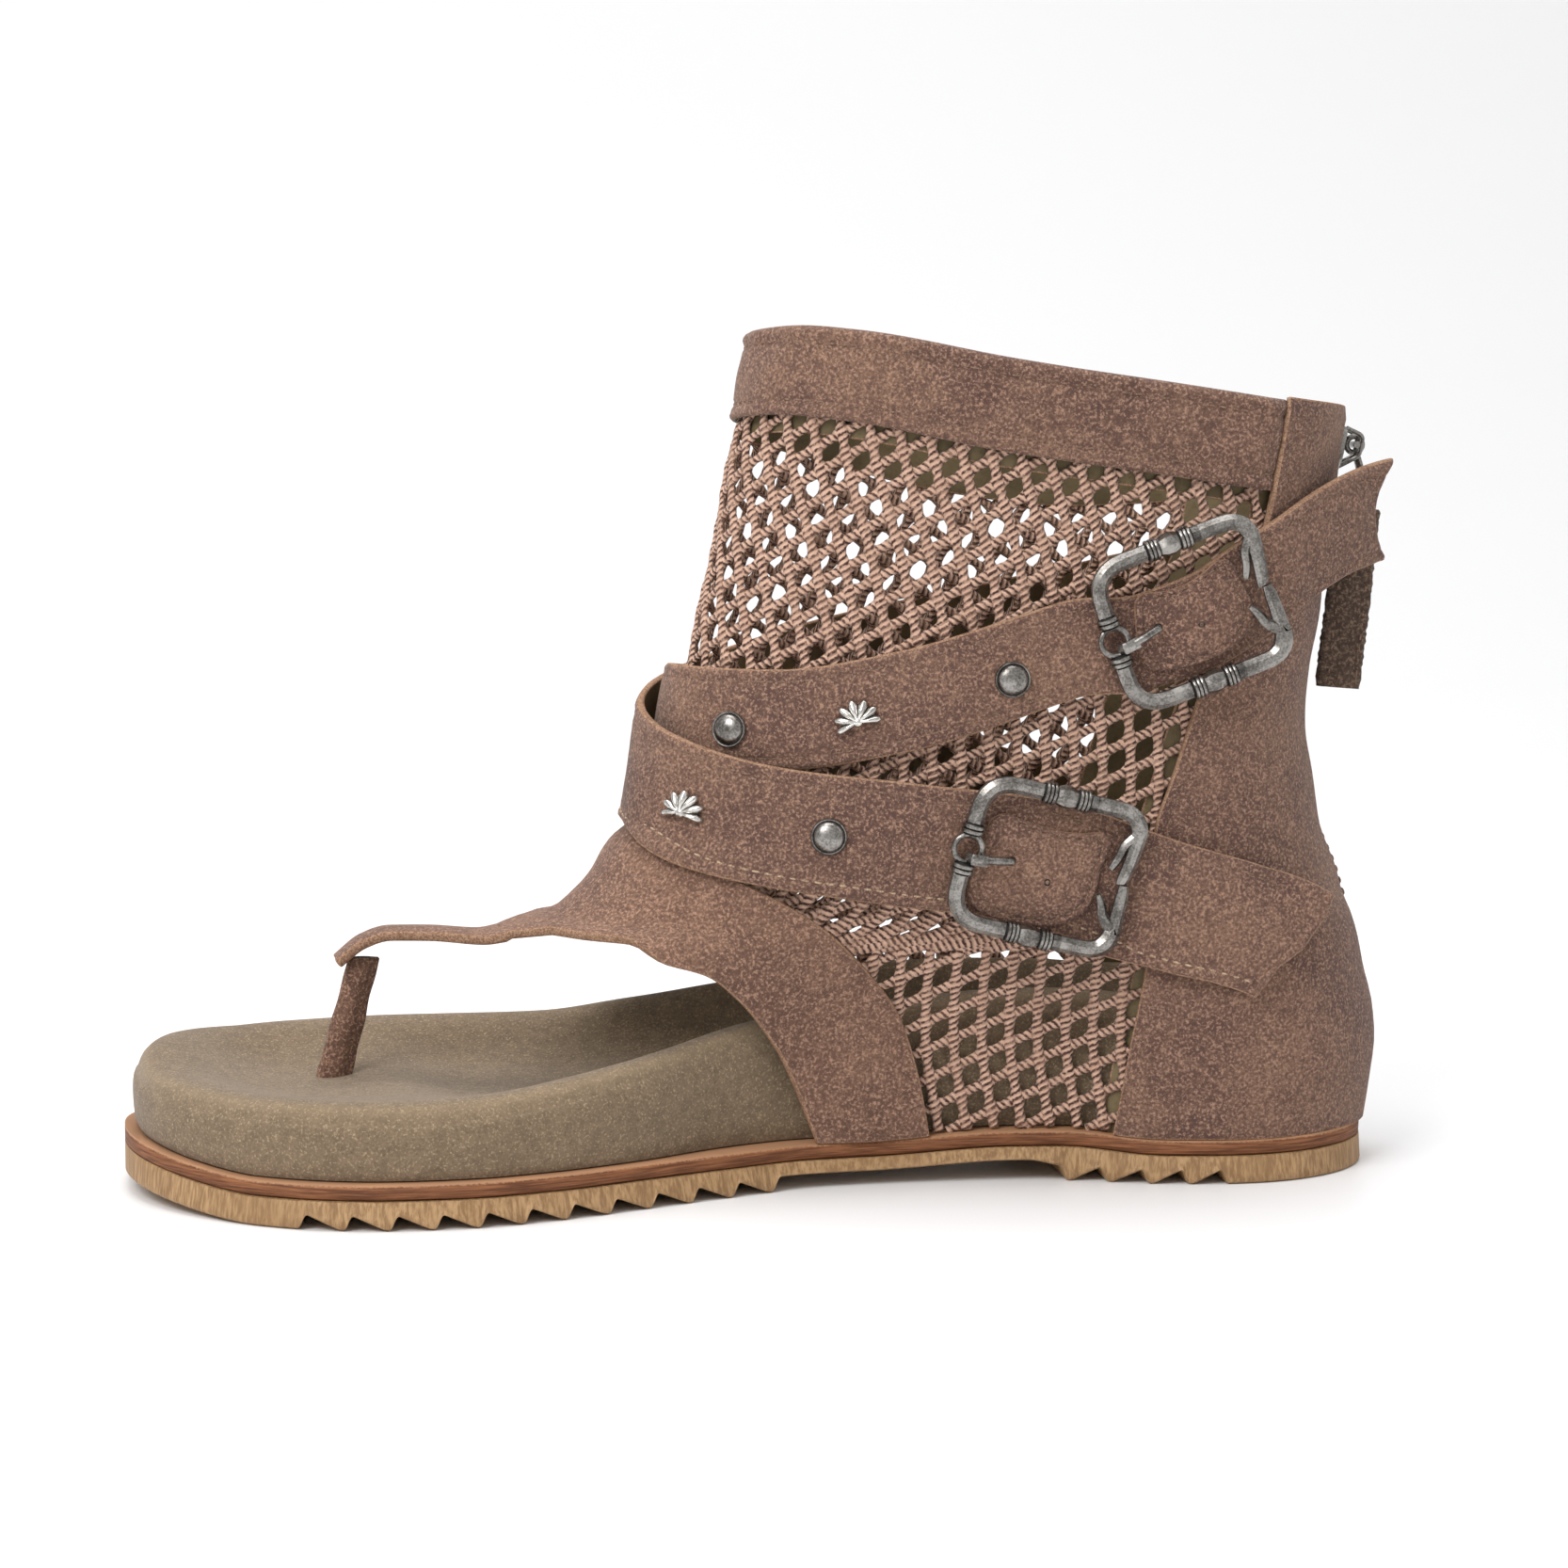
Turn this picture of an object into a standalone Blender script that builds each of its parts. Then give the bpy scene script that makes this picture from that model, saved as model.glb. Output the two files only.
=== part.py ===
"""Ankle cuff sandal with a toe post, for the left foot.

Ripple outsole, welt, moulded footbed, toe post, T-strap vamp, hollow net shaft, heel counter with a
back zip, cuff, and two studded wrap straps with buckles. Metres, +Z up, toe towards -X, outer side
towards -Y, origin on the floor under the middle of the heel.
"""
import math

import bmesh
import bpy
import numpy as np
from mathutils import Matrix, Vector

# Sole
SOLE_LENGTH = 0.2555
BALL_WIDTH = 0.0946
HEEL_LENGTH = 0.033
TOE_ROUND = 0.050
TOE_FULLNESS = 2.2
RUBBER_THICKNESS = 0.0055
TREAD_DEPTH = 0.0029
TREAD_STEEP = 0.0009
TREAD_LAND = 0.0012
RUBBER_FLARE = 0.0007
WELT_THICKNESS = 0.0029
WELT_SET_IN = 0.0003
TOE_SPRING = 0.0035
WAIST_LIFT = 0.0013
FRONT_TEETH = 11
FRONT_PITCH = 0.00865
FRONT_FIRST = 0.1895
HEEL_TEETH = 4
HEEL_PITCH = 0.0078
HEEL_BLOCK = 0.003

# Footbed
RIM_HEIGHT = 0.0300
FOOTBED_SET_IN = 0.0022
UPPER_SET_IN = 0.0040
FOOTBED_CLEARANCE = 0.0013

# Upper
SHAFT_HEIGHT = 0.175
ANKLE_HALF_WIDTH = 0.0285
INSTEP_NOSE = 0.055
HEEL_NOSE = 0.032
CUFF_TILT = 0.0034
NET_THICKNESS = 0.0012
VAMP_THICKNESS = 0.0020
COUNTER_THICKNESS = 0.0018
CUFF_THICKNESS = 0.0015
CUFF_DEPTH = 0.0178
STRAP_THICKNESS = 0.0018
UPPER_STRAP_WIDTH = 0.0200
LOWER_STRAP_WIDTH = 0.0233
GAP = 0.0003
LAYER_GAP = 0.0006

# Toe post
POST_LONG = 0.0066
POST_THICK = 0.0042
POST_FORWARD = 0.1810
POST_INWARD = 0.0050

# Zip
ZIP_WIDTH = 0.0060
TAPE_THICKNESS = 0.0011
ZIP_BOTTOM = 0.052
SLIDER_HEIGHT = 0.1500
PULL_PIN_RADIUS = 0.0007
PULL_EYE_RADIUS = 0.0017
PULL_EYE_WIRE = 0.0006
PULL_TAB_LENGTH = 0.040
PULL_TAB_WIDTH = 0.0095
PULL_TAB_THICKNESS = 0.0024

# Buckles
BUCKLE_LONG = 0.0330
BUCKLE_TALL = 0.0290
BUCKLE_CORNER = 0.0085
BAR_RADIUS = 0.00155
BUCKLE_CLEARANCE = 0.0009
RING_RADIUS = 0.0028
RING_WIRE = 0.0007
DOME_RADIUS = 0.0036
DOME_HEIGHT = 0.0022
FAN_RADIUS = 0.0040
FAN_HEIGHT = 0.0016


class Table:
    """Rows with named columns. A column is read between rows by a curve that keeps its rises and falls."""

    def __init__(self, columns, *rows):
        self.values = dict(zip(columns.split(), np.array(rows, float).T))
        self.first = columns.split()[0]

    def __call__(self, column, at):
        x = self.values[self.first]
        y = self.values[column]
        step = np.diff(x)
        slope = np.diff(y) / step
        tangent = np.concatenate([slope[:1], np.zeros(len(x) - 2), slope[-1:]])
        for i in range(1, len(x) - 1):
            if slope[i - 1] * slope[i] > 0:
                before = 2 * step[i] + step[i - 1]
                after = step[i] + 2 * step[i - 1]
                tangent[i] = (before + after) / (before / slope[i - 1] + after / slope[i])
        at = np.clip(np.asarray(at, float), x[0], x[-1])
        i = np.clip(np.searchsorted(x, at) - 1, 0, len(step) - 1)
        t = (at - x[i]) / step[i]
        ends = (2 * t**3 - 3 * t**2 + 1) * y[i] + (3 * t**2 - 2 * t**3) * y[i + 1]
        return ends + step[i] * ((t**3 - 2 * t**2 + t) * tangent[i] + (t**3 - t**2) * tangent[i + 1])


# Outline of the sole: along as a share of its length from the back, the rest as shares of the ball width
OUTLINE = Table(
    "along centre half",
    (0.00, 0.000, 0.338),
    (0.135, 0.000, 0.338),
    (0.20, 0.006, 0.316),
    (0.256, 0.020, 0.270),
    (0.323, 0.018, 0.249),
    (0.393, 0.018, 0.245),
    (0.464, 0.018, 0.262),
    (0.534, 0.003, 0.317),
    (0.605, -0.019, 0.383),
    (0.671, -0.038, 0.445),
    (0.742, -0.046, 0.491),
    (0.793, -0.042, 0.500),
    (0.851, -0.030, 0.496),
    (0.91, -0.004, 0.494),
    (0.957, 0.026, 0.494),
    (1.00, 0.045, 0.494),
)

# Footbed: rim on each side and foot surface, as shares of the rim height, above the welt
FOOTBED = Table(
    "along outer inner floor",
    (0.00, 0.93, 0.93, 0.86),
    (0.06, 0.93, 0.93, 0.62),
    (0.13, 0.93, 0.94, 0.50),
    (0.26, 0.92, 0.98, 0.48),
    (0.40, 0.89, 1.02, 0.50),
    (0.51, 0.80, 0.90, 0.47),
    (0.585, 0.68, 0.77, 0.40),
    (0.66, 0.58, 0.66, 0.34),
    (0.73, 0.505, 0.635, 0.34),
    (0.79, 0.485, 0.625, 0.41),
    (0.83, 0.485, 0.615, 0.385),
    (0.90, 0.485, 0.60, 0.36),
    (0.96, 0.46, 0.56, 0.38),
    (1.00, 0.43, 0.46, 0.42),
)

# Rings of the footbed from its foot to its crest: set in, share of the way up, and drop from the crest
FOOTBED_RINGS = Table(
    "ring set_in up drop",
    (0, 0.0000, 0.0, 0.0000),
    (1, -0.0005, 0.5, 0.0000),
    (2, 0.0001, 1.0, 0.0040),
    (3, 0.0012, 1.0, 0.0016),
    (4, 0.0030, 1.0, 0.0003),
    (5, 0.0052, 1.0, 0.0000),
)

# Rings of the foot surface: share of the way to the middle line, and share of the way down to the floor
SURFACE_RINGS = Table("ring inward down", (0, 0.16, 0.20), (1, 0.34, 0.60), (2, 0.56, 0.88), (3, 0.80, 1.0))

# Slices of the upper's inner form: front and back from the heel's middle as shares of the sole length,
# the half width as a share of the ankle's, at heights as shares of the shaft height
SLICES = Table(
    "height front back half",
    (0.03, 0.5675, 0.1155, 1.02),
    (0.10, 0.5675, 0.1229, 1.02),
    (0.146, 0.5675, 0.1264, 1.01),
    (0.18, 0.5675, 0.1249, 1.00),
    (0.229, 0.5675, 0.1166, 1.00),
    (0.274, 0.5675, 0.1092, 0.99),
    (0.288, 0.528, 0.1068, 0.99),
    (0.313, 0.504, 0.100, 0.98),
    (0.342, 0.486, 0.094, 0.98),
    (0.376, 0.471, 0.0838, 0.97),
    (0.40, 0.455, 0.0775, 0.965),
    (0.457, 0.440, 0.0697, 0.965),
    (0.514, 0.4295, 0.0654, 0.965),
    (0.589, 0.418, 0.0665, 0.965),
    (0.669, 0.4067, 0.0767, 0.97),
    (0.714, 0.399, 0.0798, 0.98),
    (0.823, 0.3855, 0.0885, 0.99),
    (0.897, 0.372, 0.0986, 1.00),
    (0.971, 0.363, 0.1057, 1.01),
    (1.03, 0.358, 0.1115, 1.02),
)

# Cuff's top edge on the outer side: forward as a share of the sole length, height of the shaft height
CUFF_TOP = Table(
    "forward height",
    (-0.13, 0.885),
    (-0.034, 0.901),
    (0.061, 0.921),
    (0.184, 0.948),
    (0.300, 0.985),
    (0.345, 0.995),
    (0.40, 0.997),
)

# Edges of the vamp from the ridge to the sole, in the same shares
VAMP_FRONT = Table(
    "down forward height",
    (0.0, 0.560, 0.275),
    (0.1, 0.536, 0.280),
    (0.2, 0.511, 0.279),
    (0.3, 0.483, 0.278),
    (0.4, 0.454, 0.267),
    (0.5, 0.425, 0.255),
    (0.6, 0.401, 0.227),
    (0.7, 0.383, 0.194),
    (0.8, 0.367, 0.157),
    (0.9, 0.352, 0.111),
    (1.0, 0.334, 0.052),
)
VAMP_REAR = Table(
    "down forward height",
    (0.0, 0.455, 0.425),
    (0.12, 0.439, 0.397),
    (0.25, 0.410, 0.365),
    (0.38, 0.379, 0.343),
    (0.5, 0.350, 0.321),
    (0.6, 0.321, 0.291),
    (0.7, 0.294, 0.250),
    (0.8, 0.269, 0.200),
    (0.9, 0.254, 0.137),
    (1.0, 0.243, 0.056),
)
VAMP_OVERLAP = 0.0045

# Thong: the vamp's narrow front, from the post to the instep, with its width as a share of the ball width
THONG = Table(
    "part forward height width",
    (0.0, 0.6990, 0.2500, 0.080),
    (0.15, 0.6800, 0.2715, 0.092),
    (0.32, 0.6600, 0.2805, 0.100),
    (0.55, 0.6300, 0.2810, 0.108),
    (0.82, 0.5900, 0.2775, 0.128),
    (1.0, 0.5675, 0.2826, 0.155),
)

# Counter's front edge: height as a share of the shaft height, forward of the sole length
COUNTER_FRONT = Table(
    "height forward",
    (0.03, 0.094),
    (0.14, 0.082),
    (0.26, 0.0725),
    (0.41, 0.069),
    (0.465, 0.057),
    (0.565, 0.0355),
    (0.755, -0.015),
    (0.90, -0.033),
    (1.03, -0.050),
)

# Middle lines of the wrap straps, from the buckle side round the front to the inner side. around is the
# share of the way from the front to the back, negative on the outer side; lift is the height over the form,
# and cant how much more it is at the top edge than at the low one
UPPER_STRAP = Table(
    "part around height lift cant",
    (0.00, -0.840, 0.728, 0.0045, 0.0),
    (0.10, -0.700, 0.666, 0.0042, 0.0),
    (0.22, -0.540, 0.619, 0.0030, 0.0),
    (0.36, -0.330, 0.560, 0.0022, 0.0),
    (0.46, -0.180, 0.537, 0.0024, 0.0003),
    (0.55, -0.040, 0.534, 0.0034, 0.0010),
    (0.63, 0.090, 0.525, 0.0030, 0.0008),
    (0.74, 0.290, 0.490, 0.0020, 0.0),
    (0.86, 0.520, 0.425, 0.0028, 0.0),
    (1.00, 0.790, 0.350, 0.0042, 0.0),
)
LOWER_STRAP = Table(
    "part around height lift cant",
    (0.00, -0.790, 0.292, 0.0048, 0.0),
    (0.10, -0.660, 0.342, 0.0044, 0.0),
    (0.22, -0.520, 0.384, 0.0042, 0.0),
    (0.34, -0.350, 0.405, 0.0044, 0.0004),
    (0.45, -0.180, 0.421, 0.0052, 0.0016),
    (0.55, -0.040, 0.452, 0.0066, 0.0032),
    (0.64, 0.090, 0.503, 0.0066, 0.0026),
    (0.74, 0.270, 0.560, 0.0048, 0.0004),
    (0.86, 0.500, 0.606, 0.0042, 0.0),
    (1.00, 0.790, 0.660, 0.0044, 0.0),
)

# Free ends of the straps beyond the buckles: how far each line across reaches, from the low edge to the high
UPPER_END = Table("across reach", (-0.5, 0.0235), (-0.25, 0.0220), (0.0, 0.0225), (0.25, 0.0255), (0.5, 0.0325))
LOWER_END = Table("across reach", (-0.5, 0.0056), (0.5, 0.0130))
UPPER_DROOP = math.radians(22)
LOWER_DROOP = math.radians(13)

# Places on the straps: part along the middle line, across as a share of the width, and the kind of stud
STUDS = (
    ("stud_dome_upper_back", "upper", 0.270, -0.10, "dome"),
    ("stud_fan_upper", "upper", 0.395, -0.02, "fan"),
    ("stud_dome_upper_front", "upper", 0.495, -0.10, "dome"),
    ("stud_dome_lower", "lower", 0.390, -0.02, "dome"),
    ("stud_fan_lower", "lower", 0.505, 0.00, "fan"),
)
# Buckles: strap, part along it, and how far the frame sinks round the strap where that curves away
BUCKLES = (("upper", 0.108, 0.0009), ("lower", 0.205, 0.0))


def smoothstep(low, high, value):
    t = np.clip((np.asarray(value, float) - low) / (high - low), 0, 1)
    return t * t * (3 - 2 * t)


def unit(vector):
    return np.asarray(vector, float) / np.linalg.norm(vector)


# The sole's plan and its lift off the floor
TOE_X = HEEL_LENGTH - SOLE_LENGTH


def along(x):
    return (HEEL_LENGTH - np.asarray(x, float)) / SOLE_LENGTH


def plan(x):
    """Middle line and half width of the sole at x."""
    x = np.asarray(x, float)
    heel = np.clip((HEEL_LENGTH - x) / HEEL_LENGTH, 0, 1)
    toe = np.clip((x - TOE_X) / TOE_ROUND, 0, 1)
    rounding = np.sqrt(1 - (1 - heel) ** 2) * (1 - (1 - toe) ** 2) ** (1 / TOE_FULLNESS)
    return BALL_WIDTH * OUTLINE("centre", along(x)), BALL_WIDTH * OUTLINE("half", along(x)) * rounding


def sole_lift(x):
    """Height that toe spring and waist lift add at x."""
    spring = np.clip((-0.198 - np.asarray(x, float)) / (-0.198 - TOE_X), 0, 1)
    waist = smoothstep(-0.075, -0.045, x) * (1 - smoothstep(-0.036, -0.014, x))
    return TOE_SPRING * spring**1.4 + WAIST_LIFT * waist


def rubber_top(x):
    return RUBBER_THICKNESS + sole_lift(x)


def welt_top(x):
    return rubber_top(x) + GAP + WELT_THICKNESS


def round_ends(first, last, count):
    """Values from first to last, closer together at both ends."""
    turn = (1 - np.cos(np.linspace(0.0, math.pi, count))) / 2
    return first + (last - first) * turn


class Last:
    """Inner form of the upper: horizontal slices from the welt to the cuff.

    A point on it has a place around, 0 at the front and -1 or 1 at the back, negative on the outer side,
    and a height.
    """

    STEPS = 110
    LOW = 0.003
    HIGH = 1.03 * SHAFT_HEIGHT
    ROWS = 116

    def __init__(self):
        self.heights = np.linspace(self.LOW, self.HIGH, self.ROWS)
        sides = [np.array([self.half_slice(z, side) for z in self.heights]) for side in (-1, 1)]
        self.lengths = [
            np.linalg.norm(np.diff(grid, axis=1), axis=2).sum(axis=1) for grid in sides
        ]
        self.grid = np.concatenate([sides[0][:, ::-1], sides[1][:, 1:]], axis=1)
        around = np.gradient(self.grid, axis=1)
        around[:, 0] = around[:, -1] = self.grid[:, 1] - self.grid[:, -2]
        up = np.gradient(self.grid, axis=0)
        normal = np.cross(up, around)
        self.normals = normal / np.linalg.norm(normal, axis=2, keepdims=True)

    def width(self, x, z, side):
        share = z / SHAFT_HEIGHT
        front = -SOLE_LENGTH * SLICES("front", share)
        back = SOLE_LENGTH * SLICES("back", share)
        foot_back = HEEL_LENGTH - UPPER_SET_IN
        centre, half = plan(x - (back - foot_back) * smoothstep(-0.045, 0.020, x))
        foot = half + side * centre - UPPER_SET_IN
        tail = np.sqrt(np.clip(1 - (1 - np.clip((back - x) / HEEL_NOSE, 0, 1)) ** 2, 0, 1))
        ankle = ANKLE_HALF_WIDTH * SLICES("half", share) * tail
        high = smoothstep(0.022, 0.075, z)
        nose = np.sqrt(np.clip(1 - (1 - np.clip((x - front) / INSTEP_NOSE, 0, 1)) ** 2, 0, 1))
        return np.maximum(foot * tail**0.35 * (1 - high) + ankle * high, 0) * nose

    def half_slice(self, z, side):
        share = z / SHAFT_HEIGHT
        front = -SOLE_LENGTH * float(SLICES("front", share))
        back = SOLE_LENGTH * float(SLICES("back", share))
        x = round_ends(front, back, 4 * self.STEPS)
        y = side * self.width(x, z, side)
        run = np.concatenate([[0], np.cumsum(np.hypot(np.diff(x), np.diff(y)))])
        even = np.linspace(0, run[-1], self.STEPS + 1)
        return np.stack([np.interp(even, run, x), np.interp(even, run, y), np.full(len(even), z)], 1)

    def place(self, around, z):
        """Row and column of a point on the grid, with the shares to the next ones."""
        around = (around + 1) % 2 - 1
        column = (around + 1) / 2 * (self.grid.shape[1] - 1)
        row = (np.clip(z, self.LOW, self.HIGH) - self.LOW) / (self.HIGH - self.LOW) * (self.ROWS - 1)
        j = min(int(column), self.grid.shape[1] - 2)
        i = min(int(row), self.ROWS - 2)
        return i, j, row - i, column - j

    def read(self, values, around, z):
        i, j, u, v = self.place(around, z)
        low = values[i, j] * (1 - v) + values[i, j + 1] * v
        high = values[i + 1, j] * (1 - v) + values[i + 1, j + 1] * v
        return low * (1 - u) + high * u

    def normal(self, around, z):
        return unit(self.read(self.normals, around, z))

    def point(self, around, z, offset=0.0):
        return self.read(self.grid, around, z) + offset * self.normal(around, z)

    def length(self, around, z):
        """Distance from the front to the back along the slice on this side."""
        row = (np.clip(z, self.LOW, self.HIGH) - self.LOW) / (self.HIGH - self.LOW) * (self.ROWS - 1)
        return float(np.interp(row, np.arange(self.ROWS), self.lengths[0 if around < 0 else 1]))

    def around_at(self, x, z, side):
        """Place around of the point with this x, on a side."""
        spots = np.linspace(0, 1, 161)
        found = np.array([self.read(self.grid, side * s * 0.9999, z)[0] for s in spots])
        return side * float(np.interp(x, found, spots))


def from_shares(last, forward, height, side):
    z = height * SHAFT_HEIGHT
    return last.around_at(-forward * SOLE_LENGTH, z, side), z


def cuff_height(last, around):
    """Height of the cuff's top edge at this place around."""
    z = 0.95 * SHAFT_HEIGHT
    for _ in range(3):
        x, y, _ = last.point(around, z)
        fade = 1 - smoothstep(-0.030, 0.022, x)
        z = SHAFT_HEIGHT * float(CUFF_TOP("height", -x / SOLE_LENGTH))
        z -= CUFF_TILT * (y / ANKLE_HALF_WIDTH + 1) * float(fade)
    return z


# Blender helpers
def clear_scene():
    for obj in list(bpy.data.objects):
        bpy.data.objects.remove(obj, do_unlink=True)


def collection(name):
    made = bpy.data.collections.new(name)
    bpy.context.scene.collection.children.link(made)
    return made


def finish(name, colour, roughness, metallic=0.0):
    material = bpy.data.materials.new(name)
    material.use_nodes = True
    shader = material.node_tree.nodes["Principled BSDF"]
    shader.inputs["Base Color"].default_value = (*colour, 1.0)
    shader.inputs["Roughness"].default_value = roughness
    shader.inputs["Metallic"].default_value = metallic
    return material


def add(name, mesh, material, smooth=True):
    obj = bpy.data.objects.new(name, mesh)
    PARTS.objects.link(obj)
    if not mesh.materials:
        mesh.materials.append(material)
    if smooth:
        mesh.shade_smooth()
        mesh.set_sharp_from_angle(angle=math.radians(40))
    return obj


def mesh_from(name, points, faces):
    mesh = bpy.data.meshes.new(name)
    mesh.from_pydata([tuple(map(float, p)) for p in points], [], faces)
    mesh.update()
    return mesh


def closed_mesh(name, points, faces):
    """A mesh of a closed body, with its faces turned outwards."""
    mesh = mesh_from(name, points, faces)
    bm = bmesh.new()
    bm.from_mesh(mesh)
    bmesh.ops.recalc_face_normals(bm, faces=bm.faces)
    if bm.calc_volume(signed=True) < 0:
        bmesh.ops.reverse_faces(bm, faces=bm.faces)
    bm.to_mesh(mesh)
    bm.free()
    return mesh


def thicken(obj, thickness):
    """Wall of even thickness on the outer side of an open surface."""
    wall = obj.modifiers.new("wall", "SOLIDIFY")
    wall.thickness = thickness
    wall.offset = 1.0
    wall.use_even_offset = True
    return wall


def grid_faces(rows, columns, wrap=False, start=0):
    """Quads of a grid of points listed row by row."""
    faces = []
    for i in range(rows - 1):
        for j in range(columns if wrap else columns - 1):
            k = (j + 1) % columns
            faces.append(
                (
                    start + i * columns + j,
                    start + i * columns + k,
                    start + (i + 1) * columns + k,
                    start + (i + 1) * columns + j,
                )
            )
    return faces


def sheet(name, grid, material, thickness, outward, wrap=False):
    """An open surface from a grid of points, thickened outwards. outward tells where out is, at its middle."""
    rows, columns = len(grid), len(grid[0])
    faces = grid_faces(rows, columns, wrap)
    points = [p for row in grid for p in row]
    middle = faces[len(faces) // 2]
    a, b, c = (np.array(points[middle[k]]) for k in (0, 1, 2))
    if np.dot(np.cross(b - a, c - a), outward) < 0:
        faces = [face[::-1] for face in faces]
    obj = add(name, mesh_from(name, points, faces), material)
    thicken(obj, thickness)
    return obj


def loft(name, rings, material, smooth=True):
    """A closed body through rings of as many points each, with flat ends."""
    count = len(rings[0])
    faces = grid_faces(len(rings), count, wrap=True)
    faces.append(tuple(range(count)))
    faces.append(tuple((len(rings) - 1) * count + j for j in range(count)))
    points = [p for ring in rings for p in ring]
    return add(name, closed_mesh(name, points, faces), material, smooth)


# Sole
def tread_height(x):
    """Corners of the tread's profile: x and the height of the underside, from toe to heel."""
    root = TREAD_DEPTH
    profile = []
    for share in (0.0, 0.25, 0.5, 0.75, 1.0):
        profile.append((TOE_X + share * (-0.198 - TOE_X), None))
    tip = -FRONT_FIRST
    profile.append((tip, 0.0))
    for _ in range(FRONT_TEETH):
        profile.append((tip + TREAD_STEEP, root))
        tip += FRONT_PITCH
        profile.append((tip - TREAD_LAND, 0.0))
        profile.append((tip, 0.0))
    profile.append((tip + TREAD_STEEP, root))
    heel_tip = -HEEL_BLOCK - HEEL_TEETH * HEEL_PITCH
    profile.append((heel_tip - TREAD_STEEP, root))
    for _ in range(HEEL_TEETH):
        profile.append((heel_tip, 0.0))
        profile.append((heel_tip + TREAD_LAND, 0.0))
        heel_tip += HEEL_PITCH
        profile.append((heel_tip - TREAD_STEEP, root))
    profile.append((heel_tip, 0.0))
    profile.append((HEEL_LENGTH, 0.0))
    return profile


def underside(x, profile):
    xs = [p[0] for p in profile]
    zs = [float(sole_lift(p[0])) if p[1] is None else p[1] for p in profile]
    z = float(np.interp(x, xs, zs))
    waist = float(smoothstep(-0.090, -0.070, x) * (1 - smoothstep(-0.042, -0.034, x)))
    return z + waist * float(sole_lift(x))


def slab(name, stations, low, high, half_extra, material):
    """A body across the sole's plan, from the height low(x) to high(x)."""
    rings = []
    for x in stations:
        centre, half = (float(v) for v in plan(x))
        under, over = half + half_extra[0], half + half_extra[1]
        rings.append(
            [
                (x, centre - under, low(x)),
                (x, centre - over, high(x)),
                (x, centre + over, high(x)),
                (x, centre + under, low(x)),
            ]
        )
    return loft(name, rings, material, smooth=False)


def end_stations():
    toe = [TOE_X + TOE_ROUND * (1 - math.cos(a)) * 0.8 for a in np.linspace(0.10, 1.35, 9)]
    heel = [HEEL_LENGTH - HEEL_LENGTH * (1 - math.cos(a)) for a in np.linspace(0.10, 1.45, 9)]
    return toe, heel


def build_outsole():
    profile = tread_height(0)
    toe, heel = end_stations()
    stations = sorted({round(x, 5) for x in toe + heel + [p[0] for p in profile[1:-1]]})
    stations += [-0.080, -0.066, -0.052]
    stations = sorted(x for x in set(stations) if toe[0] <= x <= heel[0])
    return slab(
        "outsole",
        stations,
        lambda x: underside(x, profile),
        lambda x: float(rubber_top(x)),
        (RUBBER_FLARE, 0.0),
        RUBBER,
    )


def build_welt():
    toe, heel = end_stations()
    middle = list(np.linspace(-0.176, -0.005, 28))
    stations = sorted(x for x in toe + heel + middle)
    return slab(
        "welt",
        stations,
        lambda x: float(rubber_top(x)) + GAP,
        lambda x: float(welt_top(x)),
        (-WELT_SET_IN, -WELT_SET_IN),
        WELT,
    )


def outline_loop(set_in, half_count=30):
    """Points round the sole's plan, set in, from the toe along the outer side to the heel and back."""
    x = round_ends(TOE_X + 0.00002, HEEL_LENGTH - 0.00002, half_count)
    centre, half = plan(x)
    outer = np.stack([x, centre - half], 1)
    inner = np.stack([x, centre + half], 1)
    loop = np.concatenate([outer, inner[::-1]])
    step = np.roll(loop, -1, axis=0) - np.roll(loop, 1, axis=0)
    inward = np.stack([-step[:, 1], step[:, 0]], 1)
    inward /= np.linalg.norm(inward, axis=1, keepdims=True)
    return loop + inward * np.asarray(set_in).reshape(-1, 1)


def footbed_set_in(x):
    """The footbed's wall stands further in where the upper wraps it."""
    wrapped = smoothstep(-0.125, -0.098, x)
    inside = UPPER_SET_IN + FOOTBED_CLEARANCE
    return FOOTBED_SET_IN + (inside - FOOTBED_SET_IN) * wrapped


def footbed_height(x, y, column=None):
    """Height of the rim on the side of y, or of the foot surface."""
    base = float(welt_top(x)) + GAP
    share = float(along(x))
    if column:
        return base + RIM_HEIGHT * float(FOOTBED(column, share))
    centre, half = (float(v) for v in plan(x))
    side = float(smoothstep(-0.6, 0.6, (y - centre) / max(half, 0.004)))
    rim = float(FOOTBED("outer", share)) * (1 - side) + float(FOOTBED("inner", share)) * side
    return base + RIM_HEIGHT * rim


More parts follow.
